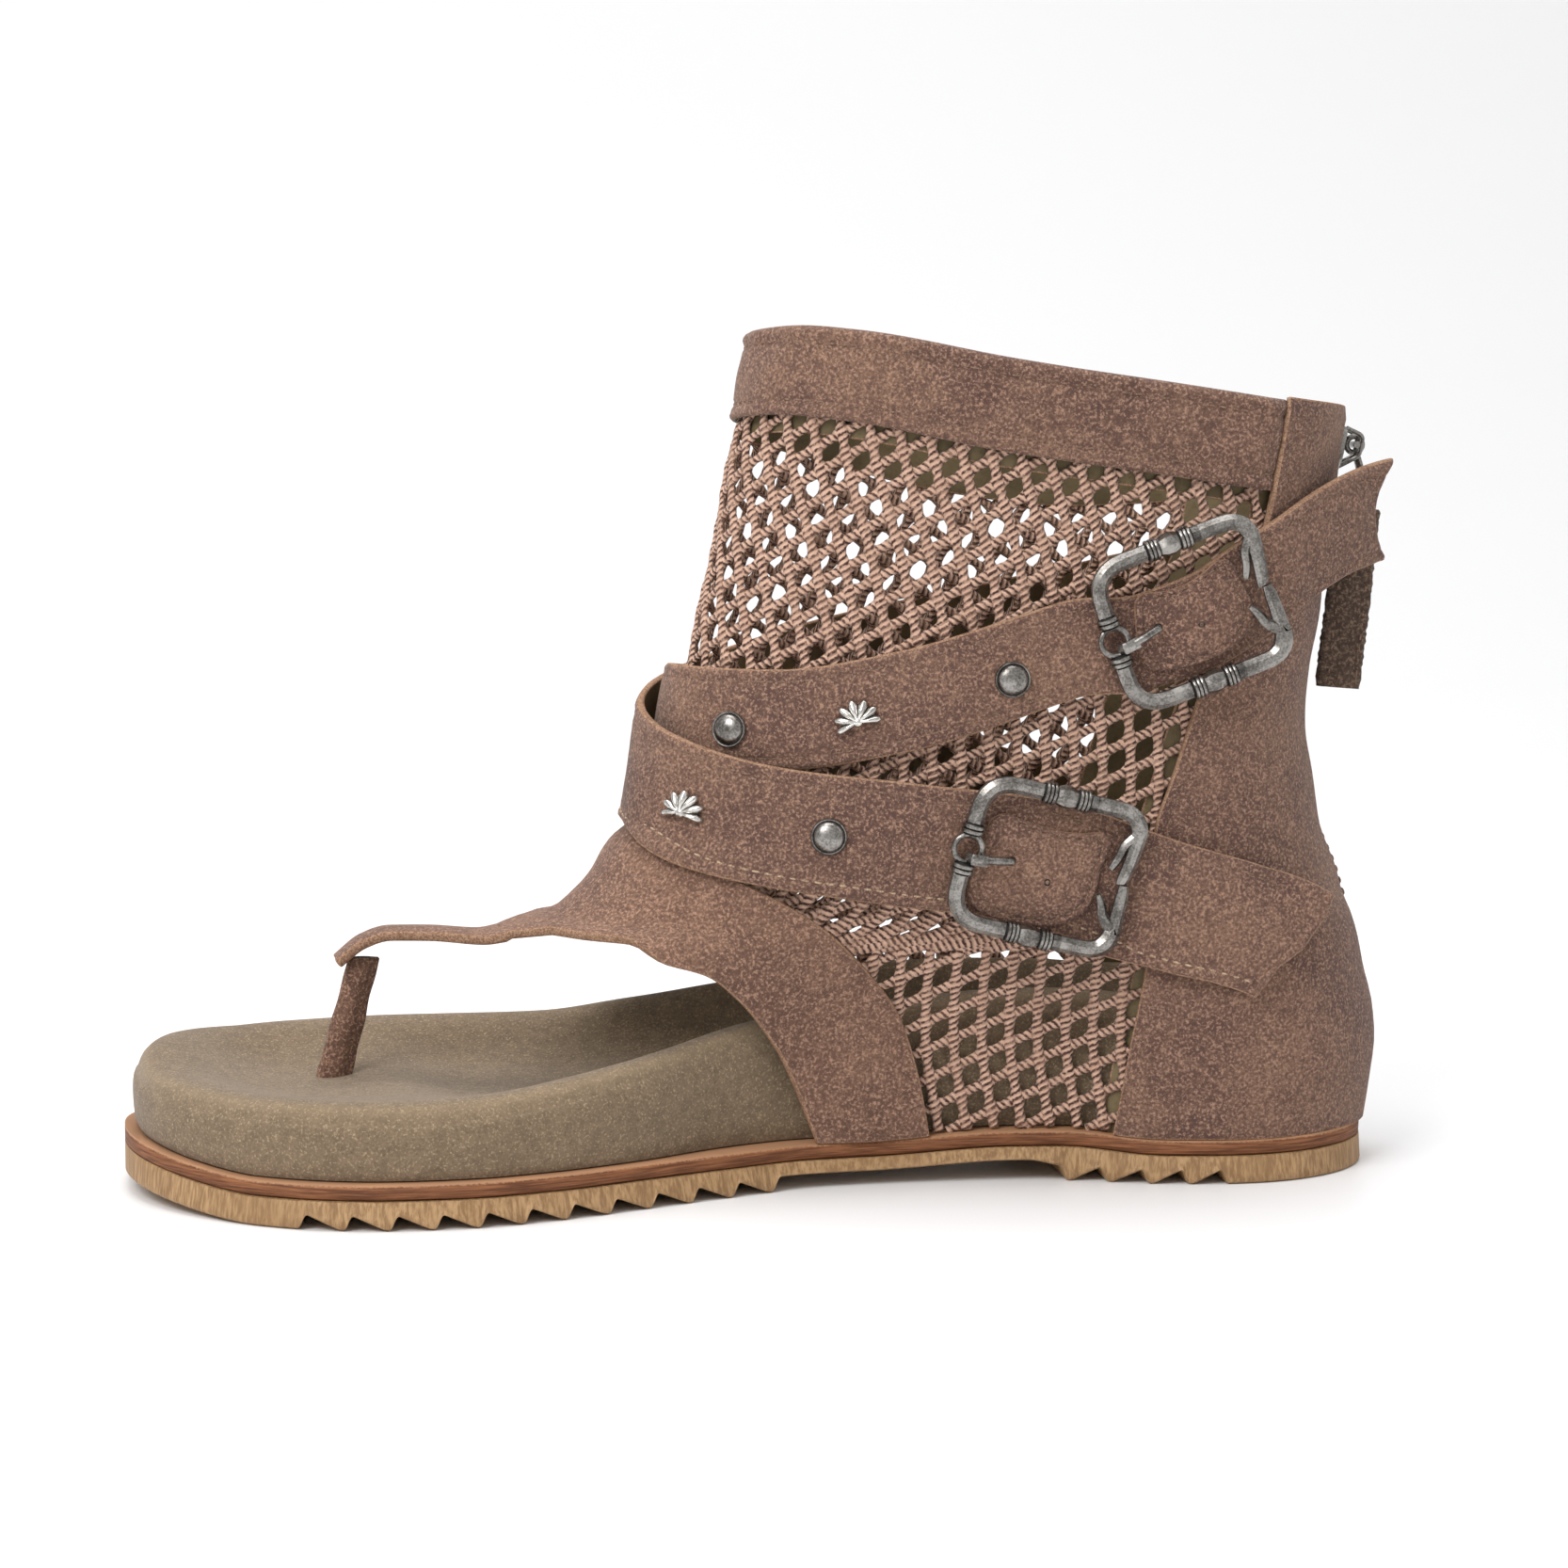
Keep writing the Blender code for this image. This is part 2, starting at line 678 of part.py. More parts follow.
def build_footbed():
    plain = outline_loop(0.0)
    base_in = footbed_set_in(plain[:, 0])
    rings = []
    for ring in range(6):
        loop = outline_loop(base_in + float(FOOTBED_RINGS("set_in", ring)))
        up = float(FOOTBED_RINGS("up", ring))
        drop = float(FOOTBED_RINGS("drop", ring))
        points = []
        for x, y in loop:
            low = float(welt_top(x)) + GAP
            points.append((x, y, low + up * (footbed_height(x, y) - low) - drop))
        rings.append(points)
    crest = np.array(rings[-1])
    heel_end, toe_end = -0.006, -0.176
    spine_x = np.clip(crest[:, 0], toe_end, heel_end)
    spine = np.stack([spine_x, np.array([float(plan(x)[0]) for x in spine_x])], 1)
    for ring in range(4):
        inward = float(SURFACE_RINGS("inward", ring))
        down = float(SURFACE_RINGS("down", ring))
        points = []
        for (x, y, z), (sx, sy) in zip(crest, spine):
            px, py = x + (sx - x) * inward, y + (sy - y) * inward
            floor = footbed_height(px, py, "floor")
            points.append((px, py, z + (floor - z) * down))
        rings.append(points)
    count = len(crest)
    faces = grid_faces(len(rings), count, wrap=True)
    half = count // 2
    last_ring = (len(rings) - 1) * count
    for i in range(half - 1):
        for start in (0, last_ring):
            faces.append((start + i, start + i + 1, start + count - 2 - i, start + count - 1 - i))
    points = [p for ring in rings for p in ring]
    return add("footbed", closed_mesh("footbed", points, faces), FOOTBED_SUEDE)


# Toe post and vamp
def thong_point(part, across):
    """Inner face of the thong: across from -1 at the outer edge to 1."""
    x = -SOLE_LENGTH * float(THONG("forward", part))
    z = SHAFT_HEIGHT * float(THONG("height", part))
    y = POST_INWARD * (1 - float(smoothstep(0.1, 1.0, part)))
    half = BALL_WIDTH * float(THONG("width", part)) / 2
    return np.array((x, y + across * half, z - 0.0004 * across * across))


def build_post():
    low_x = -POST_FORWARD
    foot = footbed_height(low_x, POST_INWARD, "floor")
    top = thong_point(0.10, 0.0)
    low = np.array((low_x, POST_INWARD, foot + 2 * GAP))
    high = np.array((top[0] + 0.0010, POST_INWARD, top[2] - 0.0022))
    rings = []
    for share in (0.0, 0.12, 0.5, 0.9, 1.0):
        middle = low + (high - low) * share
        swell = 1.0 if 0.05 < share < 0.95 else 0.86
        ring = []
        for k in range(16):
            turn = 2 * math.pi * k / 16
            reach = 1.0 + 0.22 * max(0.0, math.cos(turn)) ** 6
            ring.append(
                (
                    middle[0] + swell * reach * POST_LONG / 2 * math.cos(turn),
                    middle[1] + swell * POST_THICK / 2 * math.sin(turn),
                    middle[2],
                )
            )
        rings.append(ring)
    return loft("toe_post", rings, SUEDE)


def build_vamp(last):
    """T-strap: a thong that widens over the instep and comes down to the sole on both sides."""
    seat = NET_THICKNESS + LAYER_GAP + GAP
    ridge_low = 0.2743
    ridge_high = float(VAMP_REAR("height", 0.0))
    shares = np.array([0.0, 0.05, 0.1, 0.17, 0.25, 0.35, 0.47, 0.6, 0.73, 0.87, 1.0])
    downs = np.array([0.1, 0.14, 0.19, 0.25, 0.32, 0.4, 0.5, 0.6, 0.7, 0.8, 0.9, 1.0])
    centre_half = BALL_WIDTH * float(THONG("width", 1.0)) / 2
    rows = []
    for side in (-1, 1):
        for down in downs[::-1] if side < 0 else downs:
            front = from_shares(last, VAMP_FRONT("forward", down), VAMP_FRONT("height", down), side)
            rear = from_shares(last, VAMP_REAR("forward", down), VAMP_REAR("height", down), side)
            even = float(smoothstep(0.1, 0.5, down))
            spread = shares * (1 - even) + np.linspace(0, 1, len(shares)) * even
            row = []
            for share in spread:
                around = front[0] + (rear[0] - front[0]) * share
                z = front[1] + (rear[1] - front[1]) * share
                if down == 1.0:
                    x = last.point(around, z, seat)[0]
                    z = float(welt_top(x)) + 2 * GAP
                row.append(last.point(around, z, seat))
            rows.append(row)
        if side < 0:
            for across in (-1, -0.5, 0, 0.5, 1):
                row = []
                for share in shares:
                    z = SHAFT_HEIGHT * (ridge_low + (ridge_high - ridge_low) * share)
                    around = across * centre_half / last.length(across, z)
                    row.append(last.point(around, z, seat))
                rows.append(row)
    columns = len(shares)
    faces = grid_faces(len(rows), columns)
    points = [p for row in rows for p in row]
    first_middle = len(downs)
    parts = (0.93, 0.82, 0.7, 0.55, 0.42, 0.32, 0.22, 0.12, 0.0)
    edge = [(first_middle + k) * columns for k in range(5)]
    for part in parts:
        fresh = list(range(len(points), len(points) + 5))
        points += [thong_point(part, across) for across in (-1, -0.5, 0, 0.5, 1)]
        faces += [(fresh[k], edge[k], edge[k + 1], fresh[k + 1]) for k in range(4)]
        edge = fresh
    vamp = mesh_from("vamp", points, faces)
    bm = bmesh.new()
    bm.from_mesh(vamp)
    bmesh.ops.recalc_face_normals(bm, faces=bm.faces)
    bm.faces.ensure_lookup_table()
    if sum(face.normal.z * face.calc_area() for face in bm.faces) < 0:
        bmesh.ops.reverse_faces(bm, faces=bm.faces)
    bm.to_mesh(vamp)
    bm.free()
    obj = add("vamp", vamp, SUEDE)
    thicken(obj, VAMP_THICKNESS)
    return obj


# Shaft, counter and cuff
# Rows up the back wall, closer together where the heel curves in
WALL_ROWS = (0.0, 0.10, 0.20, 0.28, 0.35, 0.41, 0.47, 0.54, 0.63, 0.75, 0.88, 1.0)


def shaft_foot(last, share, side):
    """Lower edge of the net shaft: under the vamp's rear edge, then along the welt to the back."""
    turn = 0.56
    if share < turn:
        down = share / turn
        forward = float(VAMP_REAR("forward", down)) + VAMP_OVERLAP / SOLE_LENGTH * float(
            smoothstep(0, 0.4, down)
        )
        height = float(VAMP_REAR("height", down)) - 1.2 * VAMP_OVERLAP / SHAFT_HEIGHT * (1 - down)
        if down == 0:
            return 0.0, height * SHAFT_HEIGHT
        around, z = from_shares(last, forward, height, side)
        return around, max(z, float(welt_top(-forward * SOLE_LENGTH)) + 2 * GAP)
    start, _ = shaft_foot(last, turn - 1e-9, side)
    around = start + (side - start) * (share - turn) / (1 - turn)
    x = last.point(around, 0.0095)[0]
    return around, float(welt_top(x)) + 2 * GAP


def build_shaft(last):
    shares = np.concatenate([np.linspace(0, 0.68, 15), np.linspace(0.71, 1, 11)])
    columns = []
    for side in (-1, 1):
        order = shares[::-1] if side < 0 else shares[1:-1]
        for share in order:
            low = shaft_foot(last, share, side)
            high_around = side * share
            high = (high_around, cuff_height(last, high_around) - 0.0026)
            column = []
            for part in WALL_ROWS:
                around = low[0] + (high[0] - low[0]) * part**0.8
                z = low[1] + (high[1] - low[1]) * part
                column.append(last.point(around, z))
            columns.append(column)
    grid = [list(row) for row in zip(*columns)]
    return sheet("net_shaft", grid, NET, NET_THICKNESS, middle_normal(grid), wrap=True)


def middle_normal(grid):
    """A rough outward direction at the face that sheet() tests."""
    rows, columns = len(grid), len(grid[0])
    face = ((rows - 1) * columns) // 2
    p = np.array(grid[min(face // columns, rows - 1)][face % columns])
    axis = np.array((-0.045, 0.0, p[2]))
    return p - axis


def build_counter(last):
    steps = 11
    seat = NET_THICKNESS + LAYER_GAP
    grid = []
    for part in WALL_ROWS:
        row = []
        for j in range(2 * steps + 1):
            side = -1 if j <= steps else 1
            share = abs(j - steps) / steps
            low_z, high_z = 0.0095, 0.16
            z = low_z + (high_z - low_z) * part
            for _ in range(2):
                edge = last.around_at(-SOLE_LENGTH * float(COUNTER_FRONT("forward", z / SHAFT_HEIGHT)), z, side)
                around = side * 1.0 + (edge - side) * share
                x = last.point(around, z, seat)[0]
                low_z = float(welt_top(x)) + 2 * GAP
                high_z = cuff_height(last, around)
                z = low_z + (high_z - low_z) * part
            row.append(last.point(around, z, seat))
        grid.append(row)
    obj = sheet("heel_counter", grid, SUEDE, COUNTER_THICKNESS, (1, 0, 0))
    slot = obj.modifiers.new("zip slot", "BOOLEAN")
    slot.operation = "DIFFERENCE"
    slot.object = zip_slot_cutter()
    return obj


def zip_slot_cutter():
    bpy.ops.mesh.primitive_cube_add(size=1)
    cutter = bpy.context.object
    cutter.name = "cut_zip_slot"
    cutter.scale = (0.06, ZIP_WIDTH + 2 * GAP, SHAFT_HEIGHT)
    cutter.location = (0.035, 0, ZIP_BOTTOM + SHAFT_HEIGHT / 2)
    cutter.hide_render = True
    cutter.display_type = "WIRE"
    for owner in list(cutter.users_collection):
        owner.objects.unlink(cutter)
    CUTTERS.objects.link(cutter)
    return cutter


def build_cuff(last):
    """Folded band round the top, from the counter's edge round the front to its other edge."""
    seat = NET_THICKNESS + LAYER_GAP
    outer = seat + CUFF_THICKNESS
    steps = 38
    rings = []
    for j in range(steps + 1):
        share = 2 * j / steps - 1
        side = -1 if share < 0 else 1
        ring = []
        profile = (
            (seat, 0.0, 1), (outer, 0.0, 1), (outer, 0.5, 0), (outer, -0.0012, 2),
            (outer - 0.0009, 0.0, 2), (0.0009, 0.0, 2), (0.0, -0.0010, 2),
            (0.0, -0.0022, 2), (seat, -0.0022, 2),
        )
        for offset, shift, kind in profile:
            top_z = None
            z = 0.86 * SHAFT_HEIGHT
            for _ in range(3):
                x_edge = -SOLE_LENGTH * float(COUNTER_FRONT("forward", z / SHAFT_HEIGHT)) - 2 * GAP
                around = abs(share) * last.around_at(x_edge, z, side)
                top_z = cuff_height(last, around)
                low_z = top_z - CUFF_DEPTH
                if kind == 1:
                    z = low_z + shift
                elif kind == 2:
                    z = top_z + shift
                else:
                    z = low_z + shift * CUFF_DEPTH
            ring.append(last.point(around, z, offset))
        rings.append(ring)
    return loft("cuff", rings, SUEDE)


# Straps
class Strap:
    """A band laid on the form along its middle line, with a free straight end beyond the buckle."""

    STEPS = 34
    ACROSS = (-0.5, -0.25, 0.0, 0.25, 0.5)
    INWARD_BEND = math.radians(9)

    def __init__(self, last, path, width, end, droop):
        self.last, self.path, self.width, self.end, self.droop = last, path, width, end, droop

    def slope(self, part):
        step = 0.01
        a, b = max(part - step, 0.0), min(part + step, 1.0)
        z = self.path("height", part) * SHAFT_HEIGHT
        around = float(self.path("around", part))
        run = (self.path("around", b) - self.path("around", a)) * self.last.length(around, float(z))
        rise = (self.path("height", b) - self.path("height", a)) * SHAFT_HEIGHT
        return math.atan2(float(rise), float(run))

    def point(self, part, across, lift=0.0):
        """Point on the inner face, or lift above it; across is a share of the width, up positive."""
        tilt = self.slope(part)
        z = float(self.path("height", part)) * SHAFT_HEIGHT
        around = float(self.path("around", part))
        shift = across * self.width
        length = self.last.length(around, z)
        around -= shift * math.sin(tilt) / length
        lean = self.last.point(around, z + 0.004) - self.last.point(around, z - 0.004)
        z += shift * math.cos(tilt) * 0.008 / np.linalg.norm(lean)
        rise = float(self.path("lift", part) + across * self.path("cant", part))
        return self.last.point(around, z, rise + GAP + lift)

    def frame(self, part, across=0.0, lift=0.0):
        """Place and axes on the strap: towards its free end, up, out."""
        low, high = self.point(part, across - 0.3), self.point(part, across + 0.3)
        ahead, behind = self.point(max(part - 0.03, 0), across), self.point(part + 0.03, across)
        forward = unit(ahead - behind)
        out = unit(np.cross(forward, high - low))
        up = np.cross(out, forward)
        return self.point(part, across) + out * lift, forward, up, out

    def rows(self):
        grid = []
        end_low = self.point(0.0, 0.0)
        behind = self.point(0.035, 0.0)
        direction = unit(end_low - behind)
        direction[0] = abs(direction[0])
        for across in self.ACROSS:
            line = [self.point(part, across) for part in np.linspace(1.0, 0.0, self.STEPS)]
            reach = float(self.end("reach", across))
            heading = direction.copy()
            place = np.array(line[-1])
            for k in range(5):
                turn, fall = self.INWARD_BEND / 5, self.droop / 5
                level = math.hypot(heading[0], heading[1])
                climb = math.atan2(heading[2], level) - fall
                way = math.atan2(heading[1], heading[0]) + turn
                heading = np.array(
                    (math.cos(climb) * math.cos(way), math.cos(climb) * math.sin(way), math.sin(climb))
                )
                place = place + heading * reach / 5
                line.append(place)
            grid.append(line)
        return grid

    def build(self, name):
        grid = self.rows()
        return sheet(name, grid, SUEDE, STRAP_THICKNESS, self.outward(grid))

    def outward(self, grid):
        rows, columns = len(grid), len(grid[0])
        face = ((rows - 1) * (columns - 1)) // 2
        p = np.array(grid[face // (columns - 1)][face % (columns - 1)])
        return p - np.array((-0.045, 0.0, p[2]))


# Hardware
def to_mesh_object(curve_obj, name):
    """The curve object made a mesh, with its caps welded."""
    graph = bpy.context.evaluated_depsgraph_get()
    mesh = bpy.data.meshes.new_from_object(curve_obj.evaluated_get(graph))
    bm = bmesh.new()
    bm.from_mesh(mesh)
    bmesh.ops.remove_doubles(bm, verts=bm.verts, dist=1e-6)
    bmesh.ops.recalc_face_normals(bm, faces=bm.faces)
    bm.to_mesh(mesh)
    bm.free()
    obj = bpy.data.objects.new(name, mesh)
    obj.matrix_world = curve_obj.matrix_world
    bpy.data.objects.remove(curve_obj, do_unlink=True)
    return obj


def rod(name, points, radius, sides=1):
    """A round bar through points."""
    curve = bpy.data.curves.new(name, "CURVE")
    curve.dimensions = "3D"
    curve.bevel_depth = radius
    curve.bevel_resolution = sides
    curve.use_fill_caps = True
    spline = curve.splines.new("POLY")
    spline.points.add(len(points) - 1)
    for spot, p in zip(spline.points, points):
        spot.co = (*map(float, p), 1.0)
    obj = bpy.data.objects.new(name, curve)
    PARTS.objects.link(obj)
    bpy.context.view_layer.update()
    made = to_mesh_object(obj, name)
    made.name = name
    return made


def join_solid(base, others):
    """Boolean union of separate bodies into the first one's mesh."""
    PARTS.objects.link(base)
    for k, other in enumerate(others):
        CUTTERS.objects.link(other)
        modifier = base.modifiers.new(f"join {k}", "BOOLEAN")
        modifier.operation = "UNION"
        modifier.object = other
    bpy.context.view_layer.update()
    graph = bpy.context.evaluated_depsgraph_get()
    mesh = bpy.data.meshes.new_from_object(base.evaluated_get(graph))
    for obj in [base, *others]:
        bpy.data.objects.remove(obj, do_unlink=True)
    return mesh


def placed(mesh, name, material, spot, forward, up, out):
    """An object of the mesh whose local X, Y and Z run forward, up and out."""
    obj = add(name, mesh, material)
    obj.matrix_world = Matrix(
        (
            (forward[0], up[0], out[0], spot[0]),
            (forward[1], up[1], out[1], spot[1]),
            (forward[2], up[2], out[2], spot[2]),
            (0, 0, 0, 1),
        )
    )
    return obj


def disc(name, radius, depth, middle, axis, sides=10):
    """A short round bar along X or Y, as a mesh object that isn't linked yet."""
    mesh = bpy.data.meshes.new(name)
    bm = bmesh.new()
    bmesh.ops.create_cone(
        bm, cap_ends=True, segments=sides, radius1=radius, radius2=radius, depth=depth
    )
    turn = Matrix.Rotation(math.pi / 2, 4, "Y" if axis == "X" else "X")
    bmesh.ops.transform(bm, matrix=Matrix.Translation(Vector(middle)) @ turn, verts=bm.verts)
    bm.to_mesh(mesh)
    bm.free()
    return bpy.data.objects.new(name, mesh)


def buckle_mesh():
    """Rounded square frame, ringed collars, an eye for the prong, and two forked ends on the open side."""
    long, tall, corner = BUCKLE_LONG / 2, BUCKLE_TALL / 2, BUCKLE_CORNER
    opening = 0.0022
    eye = RING_RADIUS + RING_WIRE
    halves = []
    for side in (1, -1):
        path = [(-long, side * (eye - 0.0006), 0.0), (-long, side * (tall - corner), 0.0)]
        for k in range(1, 6):
            turn = math.pi / 2 * k / 5
            path.append(
                (-long + corner * (1 - math.cos(turn)), side * (tall - corner + corner * math.sin(turn)), 0.0)
            )
        path.append((long - corner, side * tall, 0.0))
        for k in range(1, 6):
            turn = math.pi / 2 * k / 5
            path.append(
                (long - corner * (1 - math.sin(turn)), side * (tall - corner + corner * math.cos(turn)), 0.0)
            )
        path.append((long, side * opening, 0.0))
        halves.append(rod("half", path, BAR_RADIUS))
    pieces = [halves[1]]
    for side in (1, -1):
        tine = [
            (long - 0.6 * corner, side * (tall - 0.0012), 0.0),
            (long - 0.0052, side * (tall - 0.0060), 0.0),
            (long - 0.0046, side * (opening + 0.0008), 0.0),
        ]
        pieces.append(rod("tine", tine, 0.7 * BAR_RADIUS))
        for x, radius, depth in ((-0.0035, 2.05, 0.0012), (0.0, 2.0, 0.0032), (0.0035, 2.05, 0.0012)):
            pieces.append(disc("collar", radius / 1.55 * BAR_RADIUS, depth, (x, side * tall, 0.0), "X"))
        pieces.append(
            disc("collar", 1.3 * BAR_RADIUS, 0.0018, (-long, side * (eye + 0.0004), 0.0), "Y")
        )
    mesh = bpy.data.meshes.new("eye")
    bm = bmesh.new()
    ring_sides, wire_sides = 14, 6
    ring = [
        [
            bm.verts.new(
                (
                    -long + (RING_RADIUS + RING_WIRE * math.cos(b)) * math.cos(a),
                    (RING_RADIUS + RING_WIRE * math.cos(b)) * math.sin(a),
                    RING_WIRE * math.sin(b),
                )
            )
            for b in (2 * math.pi * j / wire_sides for j in range(wire_sides))
        ]
        for a in (2 * math.pi * i / ring_sides for i in range(ring_sides))
    ]
    for i in range(ring_sides):
        for j in range(wire_sides):
            k, m = (i + 1) % ring_sides, (j + 1) % wire_sides
            bm.faces.new((ring[i][j], ring[k][j], ring[k][m], ring[i][m]))
    bmesh.ops.recalc_face_normals(bm, faces=bm.faces)
    bm.to_mesh(mesh)
    bm.free()
    pieces.append(bpy.data.objects.new("eye", mesh))
    return join_solid(halves[0], pieces)


def prong_mesh():
    """Hooked pin: up through the eye, over its rim, and along towards the strap's hole."""
    long = BUCKLE_LONG / 2
    rise = RING_WIRE + GAP + 0.0009
    path = [
        (-long - 0.0004, 0.0, -0.0004),
        (-long - 0.0002, 0.0, 0.4 * rise),
        (-long + 0.0010, 0.0, rise),
        (-long + RING_RADIUS + 0.0008, 0.0, rise),
        (-long + RING_RADIUS + 0.0055, 0.0, rise - 0.0006),
    ]
    pin = rod("pin", path, 0.0009)
    mesh = pin.data
    bpy.data.objects.remove(pin, do_unlink=True)
    return mesh


def dome_mesh():
    """Turned dome stud on a thin flange."""
    profile = [(DOME_RADIUS, 0.0), (DOME_RADIUS, 0.0004), (DOME_RADIUS * 0.92, 0.0007)]
    profile += [
        (DOME_RADIUS * 0.92 * math.cos(a), 0.0007 + (DOME_HEIGHT - 0.0007) * math.sin(a))
        for a in (math.radians(d) for d in (35, 65))
    ]
    sides = 16
    rings = [
        [(r * math.cos(2 * math.pi * k / sides), r * math.sin(2 * math.pi * k / sides), z) for k in range(sides)]
        for r, z in profile
    ]
    faces = grid_faces(len(rings), sides, wrap=True)
    faces.append(tuple(range(sides)))
    faces.append(tuple((len(rings) - 1) * sides + k for k in range(sides)))
    return closed_mesh("dome", [p for ring in rings for p in ring], faces)


def fan_mesh():
    """Ribbed fan with a small foot, ribs as waves of its rim."""
    ribs, steps = 7, 28
    rings = []
    for scale, z in ((1.0, 0.0), (1.0, 0.0006), (0.3, FAN_HEIGHT)):
        ring = []
        for k in range(steps):
            turn = 2 * math.pi * k / steps
            lobe = 0.90 + 0.10 * abs(math.cos(ribs * (turn - math.pi / 2) / 2))
            low = 1.0 - 0.28 * max(0.0, -math.sin(turn)) ** 2
            reach = FAN_RADIUS * lobe * low * scale
            ring.append((reach * math.cos(turn), reach * math.sin(turn) - 0.0003 * (1 - scale), z))
        rings.append(ring)
    faces = grid_faces(len(rings), steps, wrap=True)
    faces.append(tuple(range(steps)))
    faces.append(tuple((len(rings) - 1) * steps + k for k in range(steps)))
    return closed_mesh("fan", [p for ring in rings for p in ring], faces)


# Zip
def build_zip_tape(last):
    seat = NET_THICKNESS + LAYER_GAP
    rows = 16
    grid = []
    for k in range(rows + 1):
        row = []
        for across in (-1, 0, 1):
            side = 1 if across > 0 else -1
            z_top = cuff_height(last, side * 1.0) - 0.0015
            z = ZIP_BOTTOM + 0.0006 + (z_top - ZIP_BOTTOM - 0.0006) * k / rows
            half = (ZIP_WIDTH / 2 - GAP) / last.length(side, z)
            row.append(last.point(-1.0 + across * half, z, seat))
        grid.append(row)
    return sheet("zip_tape", grid, TAPE, TAPE_THICKNESS, (1, 0, 0))


def zip_pin(last):
    """Middle of the pin that carries the pull, and the slope of the back there."""
    seat = NET_THICKNESS + TAPE_THICKNESS + 2 * GAP
    low = last.point(-1.0, SLIDER_HEIGHT - 0.006, seat)
    high = last.point(-1.0, SLIDER_HEIGHT + 0.002, seat)
    up = unit((high[0] - low[0], 0.0, high[2] - low[2]))
    out = np.array((up[2], 0.0, -up[0]))
    middle = (low + high) / 2
    middle[1] = 0.0
    return middle, up, out


def build_slider(last):
    middle, up, out = zip_pin(last)
    body_thick = 0.0020
    rise = body_thick + PULL_EYE_RADIUS + PULL_EYE_WIRE + 0.0006
    bpy.ops.mesh.primitive_cube_add(size=1)
    body = bpy.context.object
    for owner in list(body.users_collection):
        owner.objects.unlink(body)
    body.scale = (0.0095, 0.0056, body_thick)
    bevel_free = body.data
    bevel_free.transform(Matrix.Diagonal((0.0095, 0.0056, body_thick, 1)))
    bevel_free.transform(Matrix.Translation((0, 0, GAP + body_thick / 2)))
    body.scale = (1, 1, 1)
    cheeks = []
    for side in (-1, 1):
        mesh = bpy.data.meshes.new("cheek")
        bm = bmesh.new()
        bmesh.ops.create_cube(bm, size=1)
        bmesh.ops.transform(
            bm,
            matrix=Matrix.Translation((0.0015, side * 0.0019, GAP + body_thick / 2 + rise / 2))
            @ Matrix.Diagonal((0.0022, 0.0009, rise, 1)),
            verts=bm.verts,
        )
        bm.to_mesh(mesh)
        bm.free()
        cheeks.append(bpy.data.objects.new("cheek", mesh))
    pin = disc("pin", PULL_PIN_RADIUS, 0.0044, (0.0015, 0.0, rise), "Y", 12)
    mesh = join_solid(body, [*cheeks, pin])
    side_way = np.cross(out, up)
    return placed(mesh, "zip_slider", METAL, middle, up, side_way, out), middle + up * 0.0015 + out * rise


def build_pull(pivot):
    """Eye round the slider's pin, a flat link, and the folded tab that hangs from it."""
    px, _, pz = pivot
    eye_rings = []
    sides, wire = 18, 8
    for i in range(sides):
        a = 2 * math.pi * i / sides
        eye_rings.append(
            [
                (
                    (PULL_EYE_RADIUS + PULL_EYE_WIRE * math.cos(b)) * math.cos(a) + px,
                    PULL_EYE_WIRE * math.sin(b),
                    (PULL_EYE_RADIUS + PULL_EYE_WIRE * math.cos(b)) * math.sin(a) + pz,
                )
                for b in (2 * math.pi * j / wire for j in range(wire))
            ]
        )
    faces = grid_faces(sides, wire, wrap=True)
    faces += [
        ((sides - 1) * wire + j, (sides - 1) * wire + (j + 1) % wire, (j + 1) % wire, j)
        for j in range(wire)
    ]
    eye = bpy.data.objects.new("eye", closed_mesh("eye", [p for r in eye_rings for p in r], faces))
    bar = rod(
        "bar",
        [(px + 0.0003, 0, pz - PULL_EYE_RADIUS), (px + 0.0016, 0, pz - 0.006), (px + 0.0012, 0, pz - 0.0125)],
        0.0009,
    )
    link = add("zip_link", join_solid(eye, [bar]), METAL)
    top = np.array((px + 0.0010, 0.0, pz - 0.0125 - GAP))
    lean = math.radians(5)
    down = np.array((-math.sin(lean), 0.0, -math.cos(lean)))
    wide = np.array((math.cos(lean), 0.0, -math.sin(lean)))
    rings = []
    for share, swell in ((0.0, 0.92), (0.03, 1.0), (0.97, 1.0), (1.0, 0.95)):
        middle = top + down * PULL_TAB_LENGTH * share - wide * 0.0006 * share
        ring = []
        for k in range(12):
            turn = 2 * math.pi * (k + 0.5) / 12
            flat = math.copysign(abs(math.cos(turn)) ** 0.35, math.cos(turn))
            deep = math.copysign(abs(math.sin(turn)) ** 0.6, math.sin(turn))
            spot = middle + wide * flat * swell * PULL_TAB_WIDTH / 2
            ring.append((spot[0], deep * PULL_TAB_THICKNESS / 2, spot[2]))
        rings.append(ring)
    return link, loft("zip_tab", rings, SUEDE_DARK)


def build_hardware(straps):
    frame, pin = buckle_mesh(), prong_mesh()
    for name, part, sink in BUCKLES:
        spot, forward, up, out = straps[name].frame(part)
        spot = spot + out * (STRAP_THICKNESS + BAR_RADIUS + BUCKLE_CLEARANCE - sink)
        placed(frame.copy(), f"buckle_{name}", METAL, spot, forward, up, out)
        placed(pin.copy(), f"prong_{name}", METAL, spot, forward, up, out)
    meshes = {"dome": dome_mesh(), "fan": fan_mesh()}
    for name, strap, part, across, kind in STUDS:
        spot, forward, up, out = straps[strap].frame(part, across)
        spot = spot + out * (STRAP_THICKNESS + 2 * GAP)
        placed(meshes[kind].copy(), name, METAL, spot, forward, up, out)


